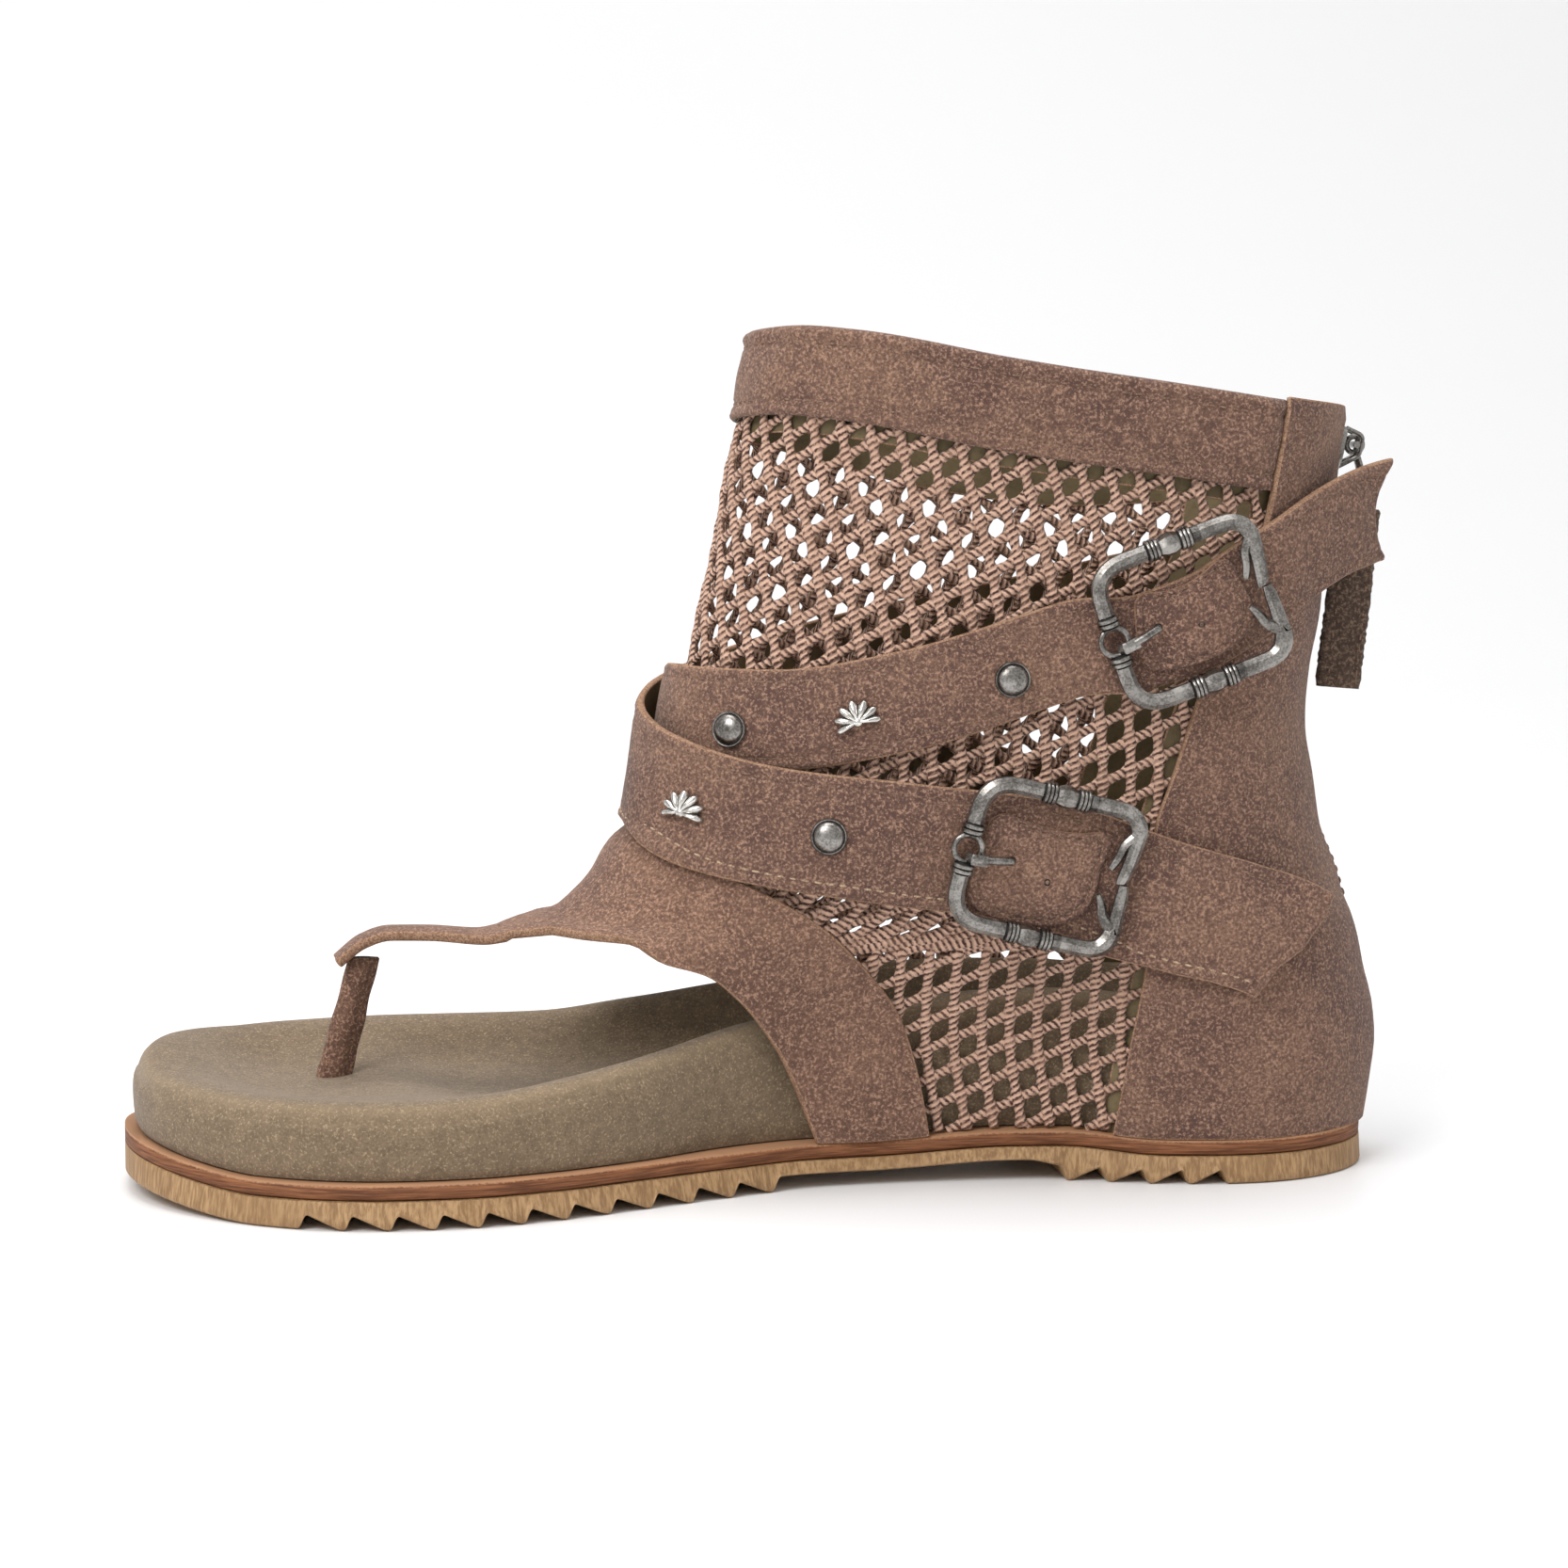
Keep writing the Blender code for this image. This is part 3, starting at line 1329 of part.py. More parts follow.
clear_scene()
PARTS = collection("cuff_sandal")
CUTTERS = collection("cutters")
RUBBER = finish("gum rubber", (0.38, 0.26, 0.15), 0.6)
WELT = finish("welt leather", (0.26, 0.11, 0.05), 0.6)
FOOTBED_SUEDE = finish("footbed suede", (0.23, 0.18, 0.11), 0.9)
SUEDE = finish("suede", (0.20, 0.13, 0.09), 0.9)
SUEDE_DARK = finish("rough suede", (0.10, 0.07, 0.05), 0.95)
NET = finish("cord net", (0.36, 0.22, 0.15), 0.85)
TAPE = finish("zip tape", (0.02, 0.02, 0.02), 0.8)
METAL = finish("aged nickel", (0.42, 0.40, 0.38), 0.35, 1.0)


def main():
    last = Last()
    build_outsole()
    build_welt()
    build_footbed()
    build_post()
    build_vamp(last)
    build_shaft(last)
    build_counter(last)
    build_cuff(last)
    straps = {
        "upper": Strap(last, UPPER_STRAP, UPPER_STRAP_WIDTH, UPPER_END, UPPER_DROOP),
        "lower": Strap(last, LOWER_STRAP, LOWER_STRAP_WIDTH, LOWER_END, LOWER_DROOP),
    }
    for name, strap in straps.items():
        strap.build(f"strap_{name}")
    build_zip_tape(last)
    _, pivot = build_slider(last)
    build_pull(pivot)
    build_hardware(straps)


main()
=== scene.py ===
import math

import bmesh
import bpy
import numpy as np
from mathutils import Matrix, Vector


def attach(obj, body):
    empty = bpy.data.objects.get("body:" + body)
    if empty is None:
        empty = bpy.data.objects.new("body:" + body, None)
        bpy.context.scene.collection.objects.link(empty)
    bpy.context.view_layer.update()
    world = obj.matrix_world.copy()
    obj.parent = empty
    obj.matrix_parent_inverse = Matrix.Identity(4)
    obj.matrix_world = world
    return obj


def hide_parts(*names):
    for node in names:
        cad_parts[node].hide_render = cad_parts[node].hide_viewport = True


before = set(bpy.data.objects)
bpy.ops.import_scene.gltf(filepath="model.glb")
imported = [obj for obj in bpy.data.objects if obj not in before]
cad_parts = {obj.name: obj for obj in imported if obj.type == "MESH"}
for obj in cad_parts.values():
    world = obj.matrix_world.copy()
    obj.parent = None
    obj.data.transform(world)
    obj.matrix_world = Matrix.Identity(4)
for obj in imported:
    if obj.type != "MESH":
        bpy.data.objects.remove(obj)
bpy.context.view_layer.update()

# Sole
SOLE_LENGTH = 0.2555
BALL_WIDTH = 0.0946
HEEL_LENGTH = 0.033
TOE_ROUND = 0.050
TOE_FULLNESS = 2.2
RUBBER_THICKNESS = 0.0055
TREAD_DEPTH = 0.0029
TREAD_STEEP = 0.0009
TREAD_LAND = 0.0012
RUBBER_FLARE = 0.0007
WELT_THICKNESS = 0.0029
WELT_SET_IN = 0.0003
TOE_SPRING = 0.0035
WAIST_LIFT = 0.0013
FRONT_TEETH = 11
FRONT_PITCH = 0.00865
FRONT_FIRST = 0.1895
HEEL_TEETH = 4
HEEL_PITCH = 0.0078
HEEL_BLOCK = 0.003

# Footbed
RIM_HEIGHT = 0.0300
FOOTBED_SET_IN = 0.0022
UPPER_SET_IN = 0.0040
FOOTBED_CLEARANCE = 0.0013

# Upper
SHAFT_HEIGHT = 0.175
ANKLE_HALF_WIDTH = 0.0285
INSTEP_NOSE = 0.055
HEEL_NOSE = 0.032
CUFF_TILT = 0.0034
NET_THICKNESS = 0.0012
VAMP_THICKNESS = 0.0020
COUNTER_THICKNESS = 0.0018
CUFF_THICKNESS = 0.0015
CUFF_DEPTH = 0.0178
STRAP_THICKNESS = 0.0018
STRAP_WIDTHS = {"upper": 0.0200, "lower": 0.0233}
GAP = 0.0003
LAYER_GAP = 0.0006

# Height of the upper's foot, and the place around just beside the middle of the back
UPPER_FOOT = 0.0095
NEAR_BACK = 0.9999

# Toe post
POST_LONG = 0.0066
POST_THICK = 0.0042
POST_FORWARD = 0.1810
POST_INWARD = 0.0050

# Zip
ZIP_WIDTH = 0.0060
TAPE_THICKNESS = 0.0011
ZIP_BOTTOM = 0.052
SLIDER_HEIGHT = 0.1500
PULL_EYE_RADIUS = 0.0017
PULL_EYE_WIRE = 0.0006
PULL_TAB_LENGTH = 0.0375
PULL_TAB_WIDTH = 0.0095
PULL_TAB_THICKNESS = 0.0024

# Hardware
BUCKLE_LONG = 0.0330
BUCKLE_TALL = 0.0290
BUCKLE_CORNER = 0.0085
BAR_RADIUS = 0.00155
BUCKLE_CLEARANCE = 0.0009
RING_RADIUS = 0.0028
RING_WIRE = 0.0006
DOME_RADIUS = 0.0036
DOME_HEIGHT = 0.0022
FAN_RADIUS = 0.0040
FAN_HEIGHT = 0.0016

# Edges and thread
EDGE_ROUNDING = 0.00035
EDGE_LINE = 0.0022
EDGE_LINE_WIDTH = 0.0005
STITCH_PITCH = 0.0025
STITCH_LENGTH = 0.0018
STITCH_RADIUS = 0.00024

# Net
CORD_RADIUS = 0.00090
KNOT_SWELL = 0.00060
KNOT_REACH = 0.0015
CORD_LIFT = 0.0009
CORD_STEP = 0.0007
CORD_TWIST = 0.0013


class Table:
    """Rows with named columns. A column is read between rows by a curve that keeps its rises and falls."""

    def __init__(self, columns, *rows):
        self.values = dict(zip(columns.split(), np.array(rows, float).T))
        self.first = columns.split()[0]

    def __call__(self, column, at):
        x = self.values[self.first]
        y = self.values[column]
        step = np.diff(x)
        slope = np.diff(y) / step
        tangent = np.concatenate([slope[:1], np.zeros(len(x) - 2), slope[-1:]])
        for i in range(1, len(x) - 1):
            if slope[i - 1] * slope[i] > 0:
                before = 2 * step[i] + step[i - 1]
                after = step[i] + 2 * step[i - 1]
                tangent[i] = (before + after) / (before / slope[i - 1] + after / slope[i])
        at = np.clip(np.asarray(at, float), x[0], x[-1])
        i = np.clip(np.searchsorted(x, at) - 1, 0, len(step) - 1)
        t = (at - x[i]) / step[i]
        ends = (2 * t**3 - 3 * t**2 + 1) * y[i] + (3 * t**2 - 2 * t**3) * y[i + 1]
        return ends + step[i] * ((t**3 - 2 * t**2 + t) * tangent[i] + (t**3 - t**2) * tangent[i + 1])


# Outline of the sole: along as a share of its length from the back, the rest as shares of the ball width
OUTLINE = Table(
    "along centre half",
    (0.00, 0.000, 0.338),
    (0.135, 0.000, 0.338),
    (0.20, 0.006, 0.316),
    (0.256, 0.020, 0.270),
    (0.323, 0.018, 0.249),
    (0.393, 0.018, 0.245),
    (0.464, 0.018, 0.262),
    (0.534, 0.003, 0.317),
    (0.605, -0.019, 0.383),
    (0.671, -0.038, 0.445),
    (0.742, -0.046, 0.491),
    (0.793, -0.042, 0.500),
    (0.851, -0.030, 0.496),
    (0.91, -0.004, 0.494),
    (0.957, 0.026, 0.494),
    (1.00, 0.045, 0.494),
)

# Footbed: rim on each side and foot surface, as shares of the rim height, above the welt
FOOTBED = Table(
    "along outer inner floor",
    (0.00, 0.93, 0.93, 0.86),
    (0.06, 0.93, 0.93, 0.62),
    (0.13, 0.93, 0.94, 0.50),
    (0.26, 0.92, 0.98, 0.48),
    (0.40, 0.89, 1.02, 0.50),
    (0.51, 0.80, 0.90, 0.47),
    (0.585, 0.68, 0.77, 0.40),
    (0.66, 0.58, 0.66, 0.34),
    (0.73, 0.505, 0.635, 0.34),
    (0.79, 0.485, 0.625, 0.41),
    (0.83, 0.485, 0.615, 0.385),
    (0.90, 0.485, 0.60, 0.36),
    (0.96, 0.46, 0.56, 0.38),
    (1.00, 0.43, 0.46, 0.42),
)

# Rings of the footbed from its foot to its crest: set in, share of the way up, and drop from the crest
FOOTBED_RINGS = Table(
    "ring set_in up drop",
    (0, 0.0000, 0.0, 0.0000),
    (1, -0.0005, 0.5, 0.0000),
    (2, 0.0001, 1.0, 0.0040),
    (3, 0.0012, 1.0, 0.0016),
    (4, 0.0030, 1.0, 0.0003),
    (5, 0.0052, 1.0, 0.0000),
)

# Rings of the foot surface: share of the way to the middle line, and share of the way down to the floor
SURFACE_RINGS = Table("ring inward down", (0, 0.16, 0.20), (1, 0.34, 0.60), (2, 0.56, 0.88), (3, 0.80, 1.0))

# Slices of the upper's inner form: front and back from the heel's middle as shares of the sole length,
# the half width as a share of the ankle's, at heights as shares of the shaft height
SLICES = Table(
    "height front back half",
    (0.03, 0.5675, 0.1155, 1.02),
    (0.10, 0.5675, 0.1229, 1.02),
    (0.146, 0.5675, 0.1264, 1.01),
    (0.18, 0.5675, 0.1249, 1.00),
    (0.229, 0.5675, 0.1166, 1.00),
    (0.274, 0.5675, 0.1092, 0.99),
    (0.288, 0.528, 0.1068, 0.99),
    (0.313, 0.504, 0.100, 0.98),
    (0.342, 0.486, 0.094, 0.98),
    (0.376, 0.471, 0.0838, 0.97),
    (0.40, 0.455, 0.0775, 0.965),
    (0.457, 0.440, 0.0697, 0.965),
    (0.514, 0.4295, 0.0654, 0.965),
    (0.589, 0.418, 0.0665, 0.965),
    (0.669, 0.4067, 0.0767, 0.97),
    (0.714, 0.399, 0.0798, 0.98),
    (0.823, 0.3855, 0.0885, 0.99),
    (0.897, 0.372, 0.0986, 1.00),
    (0.971, 0.363, 0.1057, 1.01),
    (1.03, 0.358, 0.1115, 1.02),
)

# Cuff's top edge on the outer side: forward as a share of the sole length, height of the shaft height
CUFF_TOP = Table(
    "forward height",
    (-0.13, 0.885),
    (-0.034, 0.901),
    (0.061, 0.921),
    (0.184, 0.948),
    (0.300, 0.985),
    (0.345, 0.995),
    (0.40, 0.997),
)

# Edges of the vamp from the ridge to the sole, in the same shares
VAMP_FRONT = Table(
    "down forward height",
    (0.0, 0.560, 0.275),
    (0.1, 0.536, 0.280),
    (0.2, 0.511, 0.279),
    (0.3, 0.483, 0.278),
    (0.4, 0.454, 0.267),
    (0.5, 0.425, 0.255),
    (0.6, 0.401, 0.227),
    (0.7, 0.383, 0.194),
    (0.8, 0.367, 0.157),
    (0.9, 0.352, 0.111),
    (1.0, 0.334, 0.052),
)
VAMP_REAR = Table(
    "down forward height",
    (0.0, 0.455, 0.425),
    (0.12, 0.439, 0.397),
    (0.25, 0.410, 0.365),
    (0.38, 0.379, 0.343),
    (0.5, 0.350, 0.321),
    (0.6, 0.321, 0.291),
    (0.7, 0.294, 0.250),
    (0.8, 0.269, 0.200),
    (0.9, 0.254, 0.137),
    (1.0, 0.243, 0.056),
)
VAMP_OVERLAP = 0.0045

# Thong: the vamp's narrow front, from the post to the instep, with its width as a share of the ball width
THONG = Table(
    "part forward height width",
    (0.0, 0.6990, 0.2500, 0.080),
    (0.15, 0.6800, 0.2715, 0.092),
    (0.32, 0.6600, 0.2805, 0.100),
    (0.55, 0.6300, 0.2810, 0.108),
    (0.82, 0.5900, 0.2775, 0.128),
    (1.0, 0.5675, 0.2826, 0.155),
)

# Counter's front edge: height as a share of the shaft height, forward of the sole length
COUNTER_FRONT = Table(
    "height forward",
    (0.03, 0.094),
    (0.14, 0.082),
    (0.26, 0.0725),
    (0.41, 0.069),
    (0.465, 0.057),
    (0.565, 0.0355),
    (0.755, -0.015),
    (0.90, -0.033),
    (1.03, -0.050),
)

# Middle lines of the wrap straps, from the buckle side round the front to the inner side. around is the
# share of the way from the front to the back, negative on the outer side; lift is the height over the form,
# cant how much more it is at the top edge than at the low one, and sag how far the line hangs in the buckle
STRAP_PATHS = {
    "upper": Table(
        "part around height lift cant sag",
        (0.00, -0.840, 0.728, 0.0045, 0.0, 0.0000),
        (0.06, -0.756, 0.690, 0.0043, 0.0, 0.0014),
        (0.10, -0.700, 0.666, 0.0042, 0.0, 0.0030),
        (0.15, -0.634, 0.644, 0.0037, 0.0, 0.0030),
        (0.22, -0.540, 0.619, 0.0030, 0.0, 0.0000),
        (0.36, -0.330, 0.560, 0.0022, 0.0, 0.0000),
        (0.46, -0.180, 0.537, 0.0024, 0.0003, 0.0000),
        (0.55, -0.040, 0.534, 0.0034, 0.0010, 0.0000),
        (0.63, 0.090, 0.525, 0.0030, 0.0008, 0.0000),
        (0.74, 0.290, 0.490, 0.0020, 0.0, 0.0000),
        (0.86, 0.520, 0.425, 0.0028, 0.0, 0.0000),
        (1.00, 0.790, 0.350, 0.0042, 0.0, 0.0000),
    ),
    "lower": Table(
        "part around height lift cant sag",
        (0.00, -0.790, 0.292, 0.0048, 0.0, 0.0000),
        (0.10, -0.660, 0.342, 0.0044, 0.0, 0.0000),
        (0.22, -0.520, 0.384, 0.0042, 0.0, 0.0000),
        (0.34, -0.350, 0.405, 0.0044, 0.0004, 0.0000),
        (0.45, -0.180, 0.421, 0.0052, 0.0016, 0.0000),
        (0.55, -0.040, 0.452, 0.0066, 0.0032, 0.0000),
        (0.64, 0.090, 0.503, 0.0066, 0.0026, 0.0000),
        (0.74, 0.270, 0.560, 0.0048, 0.0004, 0.0000),
        (0.86, 0.500, 0.606, 0.0042, 0.0, 0.0000),
        (1.00, 0.790, 0.660, 0.0044, 0.0, 0.0000),
    ),
}

# Free ends of the straps beyond the buckles: how far each line across reaches, from the low edge to the high
STRAP_ENDS = {
    "upper": Table(
        "across reach", (-0.5, 0.0235), (-0.25, 0.0220), (0.0, 0.0225), (0.25, 0.0255), (0.5, 0.0325)
    ),
    "lower": Table("across reach", (-0.5, 0.0056), (0.5, 0.0130)),
}
STRAP_DROOPS = {"upper": math.radians(22), "lower": math.radians(13)}

# Places on the straps: part along the middle line, across as a share of the width, and the kind of stud
STUDS = (
    ("stud_dome_upper_back", "upper", 0.270, -0.10, "dome"),
    ("stud_fan_upper", "upper", 0.395, -0.02, "fan"),
    ("stud_dome_upper_front", "upper", 0.495, -0.10, "dome"),
    ("stud_dome_lower", "lower", 0.390, -0.02, "dome"),
    ("stud_fan_lower", "lower", 0.505, 0.00, "fan"),
)
BUCKLES = (("upper", 0.108, 0.0009), ("lower", 0.205, 0.0))
TOE_X = HEEL_LENGTH - SOLE_LENGTH


def smoothstep(low, high, value):
    t = np.clip((np.asarray(value, float) - low) / (high - low), 0, 1)
    return t * t * (3 - 2 * t)


def bump(value, middle, reach):
    return np.exp(-(((np.asarray(value, float) - middle) / reach) ** 2))


def units(vectors):
    vectors = np.asarray(vectors, float)
    return vectors / np.maximum(np.linalg.norm(vectors, axis=-1, keepdims=True), 1e-12)


def along(x):
    return (HEEL_LENGTH - np.asarray(x, float)) / SOLE_LENGTH


def plan(x):
    """Middle line and half width of the sole at x."""
    x = np.asarray(x, float)
    heel = np.clip((HEEL_LENGTH - x) / HEEL_LENGTH, 0, 1)
    toe = np.clip((x - TOE_X) / TOE_ROUND, 0, 1)
    rounding = np.sqrt(1 - (1 - heel) ** 2) * (1 - (1 - toe) ** 2) ** (1 / TOE_FULLNESS)
    return BALL_WIDTH * OUTLINE("centre", along(x)), BALL_WIDTH * OUTLINE("half", along(x)) * rounding


def sole_lift(x):
    """Height that toe spring and waist lift add at x."""
    spring = np.clip((-0.198 - np.asarray(x, float)) / (-0.198 - TOE_X), 0, 1)
    waist = smoothstep(-0.075, -0.045, x) * (1 - smoothstep(-0.036, -0.014, x))
    return TOE_SPRING * spring**1.4 + WAIST_LIFT * waist


def rubber_top(x):
    return RUBBER_THICKNESS + sole_lift(x)


def welt_top(x):
    return rubber_top(x) + GAP + WELT_THICKNESS


def round_ends(first, last, count):
    turn = (1 - np.cos(np.linspace(0.0, math.pi, count))) / 2
    return first + (last - first) * turn


class Last:
    """Inner form of the upper.

    around is 0 at the front and -1 or 1 at the back, negative on the outer side.
    """

    STEPS = 200
    ROWS = 220
    LOW = 0.003
    HIGH = 1.03 * SHAFT_HEIGHT

    def __init__(self):
        heights = np.linspace(self.LOW, self.HIGH, self.ROWS)
        sides = [np.array([self.half_slice(z, side) for z in heights]) for side in (-1, 1)]
        self.heights = heights
        self.lengths = [np.linalg.norm(np.diff(g, axis=1), axis=2).sum(axis=1) for g in sides]
        self.grid = np.concatenate([sides[0][:, ::-1], sides[1][:, 1:]], axis=1)
        across = np.gradient(self.grid, axis=1)
        across[:, 0] = across[:, -1] = self.grid[:, 1] - self.grid[:, -2]
        self.normals = units(np.cross(np.gradient(self.grid, axis=0), across))

    def width(self, x, z, side):
        share = z / SHAFT_HEIGHT
        front = -SOLE_LENGTH * SLICES("front", share)
        back = SOLE_LENGTH * SLICES("back", share)
        foot_back = HEEL_LENGTH - UPPER_SET_IN
        centre, half = plan(x - (back - foot_back) * smoothstep(-0.045, 0.020, x))
        foot = half + side * centre - UPPER_SET_IN
        tail = np.sqrt(np.clip(1 - (1 - np.clip((back - x) / HEEL_NOSE, 0, 1)) ** 2, 0, 1))
        ankle = ANKLE_HALF_WIDTH * SLICES("half", share) * tail
        high = smoothstep(0.022, 0.075, z)
        nose = np.sqrt(np.clip(1 - (1 - np.clip((x - front) / INSTEP_NOSE, 0, 1)) ** 2, 0, 1))
        return np.maximum(foot * tail**0.35 * (1 - high) + ankle * high, 0) * nose

    def half_slice(self, z, side):
        share = z / SHAFT_HEIGHT
        front = -SOLE_LENGTH * float(SLICES("front", share))
        back = SOLE_LENGTH * float(SLICES("back", share))
        x = round_ends(front, back, 440)
        y = side * self.width(x, z, side)
        run = np.concatenate([[0], np.cumsum(np.hypot(np.diff(x), np.diff(y)))])
        even = np.linspace(0, run[-1], self.STEPS + 1)
        return np.stack([np.interp(even, run, x), np.interp(even, run, y), np.full(len(even), z)], 1)

    def read(self, values, around, z):
        around, z = np.broadcast_arrays(np.asarray(around, float), np.asarray(z, float))
        around = (around + 1) % 2 - 1
        column = (around + 1) / 2 * (self.grid.shape[1] - 1)
        row = (np.clip(z, self.LOW, self.HIGH) - self.LOW) / (self.HIGH - self.LOW) * (self.ROWS - 1)
        j = np.minimum(column.astype(int), self.grid.shape[1] - 2)
        i = np.minimum(row.astype(int), self.ROWS - 2)
        u, v = (row - i)[..., None], (column - j)[..., None]
        low = values[i, j] * (1 - v) + values[i, j + 1] * v
        high = values[i + 1, j] * (1 - v) + values[i + 1, j + 1] * v
        return low * (1 - u) + high * u

    def normal(self, around, z):
        return units(self.read(self.normals, around, z))

    def point(self, around, z, offset=0.0):
        return self.read(self.grid, around, z) + np.asarray(offset)[..., None] * self.normal(around, z)

    def length(self, around, z):
        """Distance from the front to the back along the slice on this side."""
        outer = np.interp(z, self.heights, self.lengths[0])
        inner = np.interp(z, self.heights, self.lengths[1])
        return np.where(np.asarray(around) < 0, outer, inner)

    def around_at(self, x, z, side):
        """Place around of the point with this x, on a side."""
        spots = np.linspace(0, 1, 161)
        found = self.read(self.grid, side * spots * NEAR_BACK, z)[:, 0]
        return side * float(np.interp(x, found, spots))


last = Last()


def from_shares(forward, height, side):
    z = float(height) * SHAFT_HEIGHT
    return last.around_at(-float(forward) * SOLE_LENGTH, z, side), z


def cuff_height(around):
    """Height of the cuff's top edge at this place around."""
    z = np.full(np.shape(around), 0.95 * SHAFT_HEIGHT)
    for _ in range(3):
        p = last.point(around, z)
        fade = 1 - smoothstep(-0.030, 0.022, p[..., 0])
        z = SHAFT_HEIGHT * CUFF_TOP("height", -p[..., 0] / SOLE_LENGTH)
        z = z - CUFF_TILT * (p[..., 1] / ANKLE_HALF_WIDTH + 1) * fade
    return z


CUFF_AROUND = np.linspace(-1, 1, 401)
CUFF_HEIGHTS = cuff_height(CUFF_AROUND)


def cuff_top(around):
    return np.interp(around, CUFF_AROUND, CUFF_HEIGHTS)


COUNTER_Z = np.linspace(0.004, last.HIGH, 160)
COUNTER_EDGES = {
    side: np.array(
        [
            last.around_at(-SOLE_LENGTH * float(COUNTER_FRONT("forward", z / SHAFT_HEIGHT)), z, side)
            for z in COUNTER_Z
        ]
    )
    for side in (-1, 1)
}


def counter_edge(z, side):
    """Place around of the counter's front edge."""
    return np.interp(z, COUNTER_Z, COUNTER_EDGES[side])


# Shader expressions
class Value:
    """A socket of a material's nodes. Sums and products of values add their Math nodes."""

    def __init__(self, finish, socket):
        self.finish, self.socket = finish, socket

    def maths(self, operation, *terms):
        return self.finish.make("Math", {"operation": operation}, dict(enumerate(terms)))

    def __add__(self, other):
        return self.maths("ADD", self, other)

    def __sub__(self, other):
        return self.maths("SUBTRACT", self, other)

    def __rsub__(self, other):
        return self.maths("SUBTRACT", other, self)

    def __mul__(self, other):
        return self.maths("MULTIPLY", self, other)

    __radd__ = __add__
    __rmul__ = __mul__

    def smooth(self, low, high):
        """0 below low, 1 above high, with a smooth way between."""
        sockets = {"Value": self, "From Min": low, "From Max": high}
        return self.finish.make("MapRange", {"interpolation_type": "SMOOTHSTEP"}, sockets)


class Finish:
    """One material and its nodes."""

    def __init__(self, name, **constants):
        self.material = bpy.data.materials.new(name)
        self.material.use_nodes = True
        self.nodes = self.material.node_tree.nodes
        self.links = self.material.node_tree.links
        self.shader = self.nodes["Principled BSDF"]
        for socket, value in constants.items():
            self.shader.inputs[socket.replace("_", " ").title().replace("Ior", "IOR")].default_value = value

    def make(self, kind, settings=None, sockets=None, output=0):
        """Adds a node with its settings, feeds its sockets, and gives an output."""
        node = self.nodes.new("ShaderNode" + kind)
        for setting, value in (settings or {}).items():
            if setting == "stops":
                self.fill_ramp(node.color_ramp, value)
            else:
                setattr(node, setting, value)
        for name, value in (sockets or {}).items():
            self.feed(node.inputs[name], value)
        return Value(self, node.outputs[output])

    def fill_ramp(self, ramp, stops):
        while len(ramp.elements) < len(stops):
            ramp.elements.new(0.5)
        for element, (position, colour) in zip(ramp.elements, stops):
            element.position = position
            element.color = colour

    def feed(self, socket, value):
        if isinstance(value, Value):
            self.links.new(value.socket, socket)
        else:
            socket.default_value = value

    def set(self, **sockets):
        for name, value in sockets.items():
            self.feed(self.shader.inputs[name.replace("_", " ")], value)
        return self.material

    def place(self):
        return self.make("TexCoord", output=3)

    def stretched(self, scale):
        return self.make("Mapping", None, {"Vector": self.place(), "Scale": scale})

    def noise(self, scale, detail=2.0, rough=0.5, vector=None, warp=0.0):
        sockets = {"Scale": scale, "Detail": detail, "Roughness": rough, "Distortion": warp}
        sockets["Vector"] = vector or self.place()
        return self.make("TexNoise", None, sockets)

    def mark(self, name):
        """A number kept on the mesh's points."""
        return self.make("Attribute", {"attribute_name": name}, output=2)

    def mix(self, share, first, second):
        return self.make(
            "Mix", {"data_type": "RGBA"}, {0: share, 6: first, 7: second}, output=2
        )

    def relief(self, height, strength, distance):
        return self.make("Bump", None, {"Height": height, "Strength": strength, "Distance": distance})


def tone(code):
    """Linear colour of a mixed paint code."""
    parts = [int(code[k : k + 2], 16) / 255 for k in (0, 2, 4)]
    return (*[p / 12.92 if p <= 0.04045 else ((p + 0.055) / 1.055) ** 2.4 for p in parts], 1.0)


def suede_finish(name, light, middle, shade, fleck=1650.0, depth=1.0):
    f = Finish(name, sheen_weight=0.12, sheen_roughness=0.5, specular_ior_level=0.12)
    fibre = f.noise(fleck, 3.0, 0.7)
    nap = f.noise(420.0, 4.0, 0.6)
    cloud = f.noise(38.0, 2.0, 0.5, warp=0.3)
    ground = f.mix((cloud * 0.5 + nap * 0.5).smooth(0.34, 0.66), tone(shade), tone(middle))
    colour = f.mix(fibre.smooth(0.48, 0.66) * 0.85, ground, tone(light))
    colour = f.mix((1 - fibre.smooth(0.34, 0.50)) * 0.80, colour, tone(shade))
    relief = f.relief(fibre * 0.8 + nap * 0.5, 0.85 * depth, 0.00045)
    return f.set(Base_Color=colour, Roughness=0.90 + nap * 0.08, Normal=relief)


def edge_finish():
    f = Finish("raw suede edge", specular_ior_level=0.1)
    fibre = f.noise(2600.0, 4.0, 0.7)
    layers = f.noise(500.0, 2.0)
    colour = f.mix(fibre.smooth(0.35, 0.65), tone("7a5c49"), tone("b39178"))
    colour = f.mix(layers.smooth(0.5, 0.7) * 0.5, colour, tone("6a4f40"))
    return f.set(Base_Color=colour, Roughness=0.95, Normal=f.relief(fibre, 0.6, 0.0004))


def lining_finish():
    f = Finish("olive lining", specular_ior_level=0.3)
    grain = f.noise(1100.0, 3.0, 0.6)
    cloud = f.noise(70.0, 2.0)
    colour = f.mix(cloud.smooth(0.35, 0.65), tone("5e5139"), tone("75664a"))
    colour = f.mix(grain.smooth(0.5, 0.75) * 0.5, colour, tone("4a402c"))
    return f.set(Base_Color=colour, Roughness=0.62 + grain * 0.2, Normal=f.relief(grain, 0.35, 0.0003))


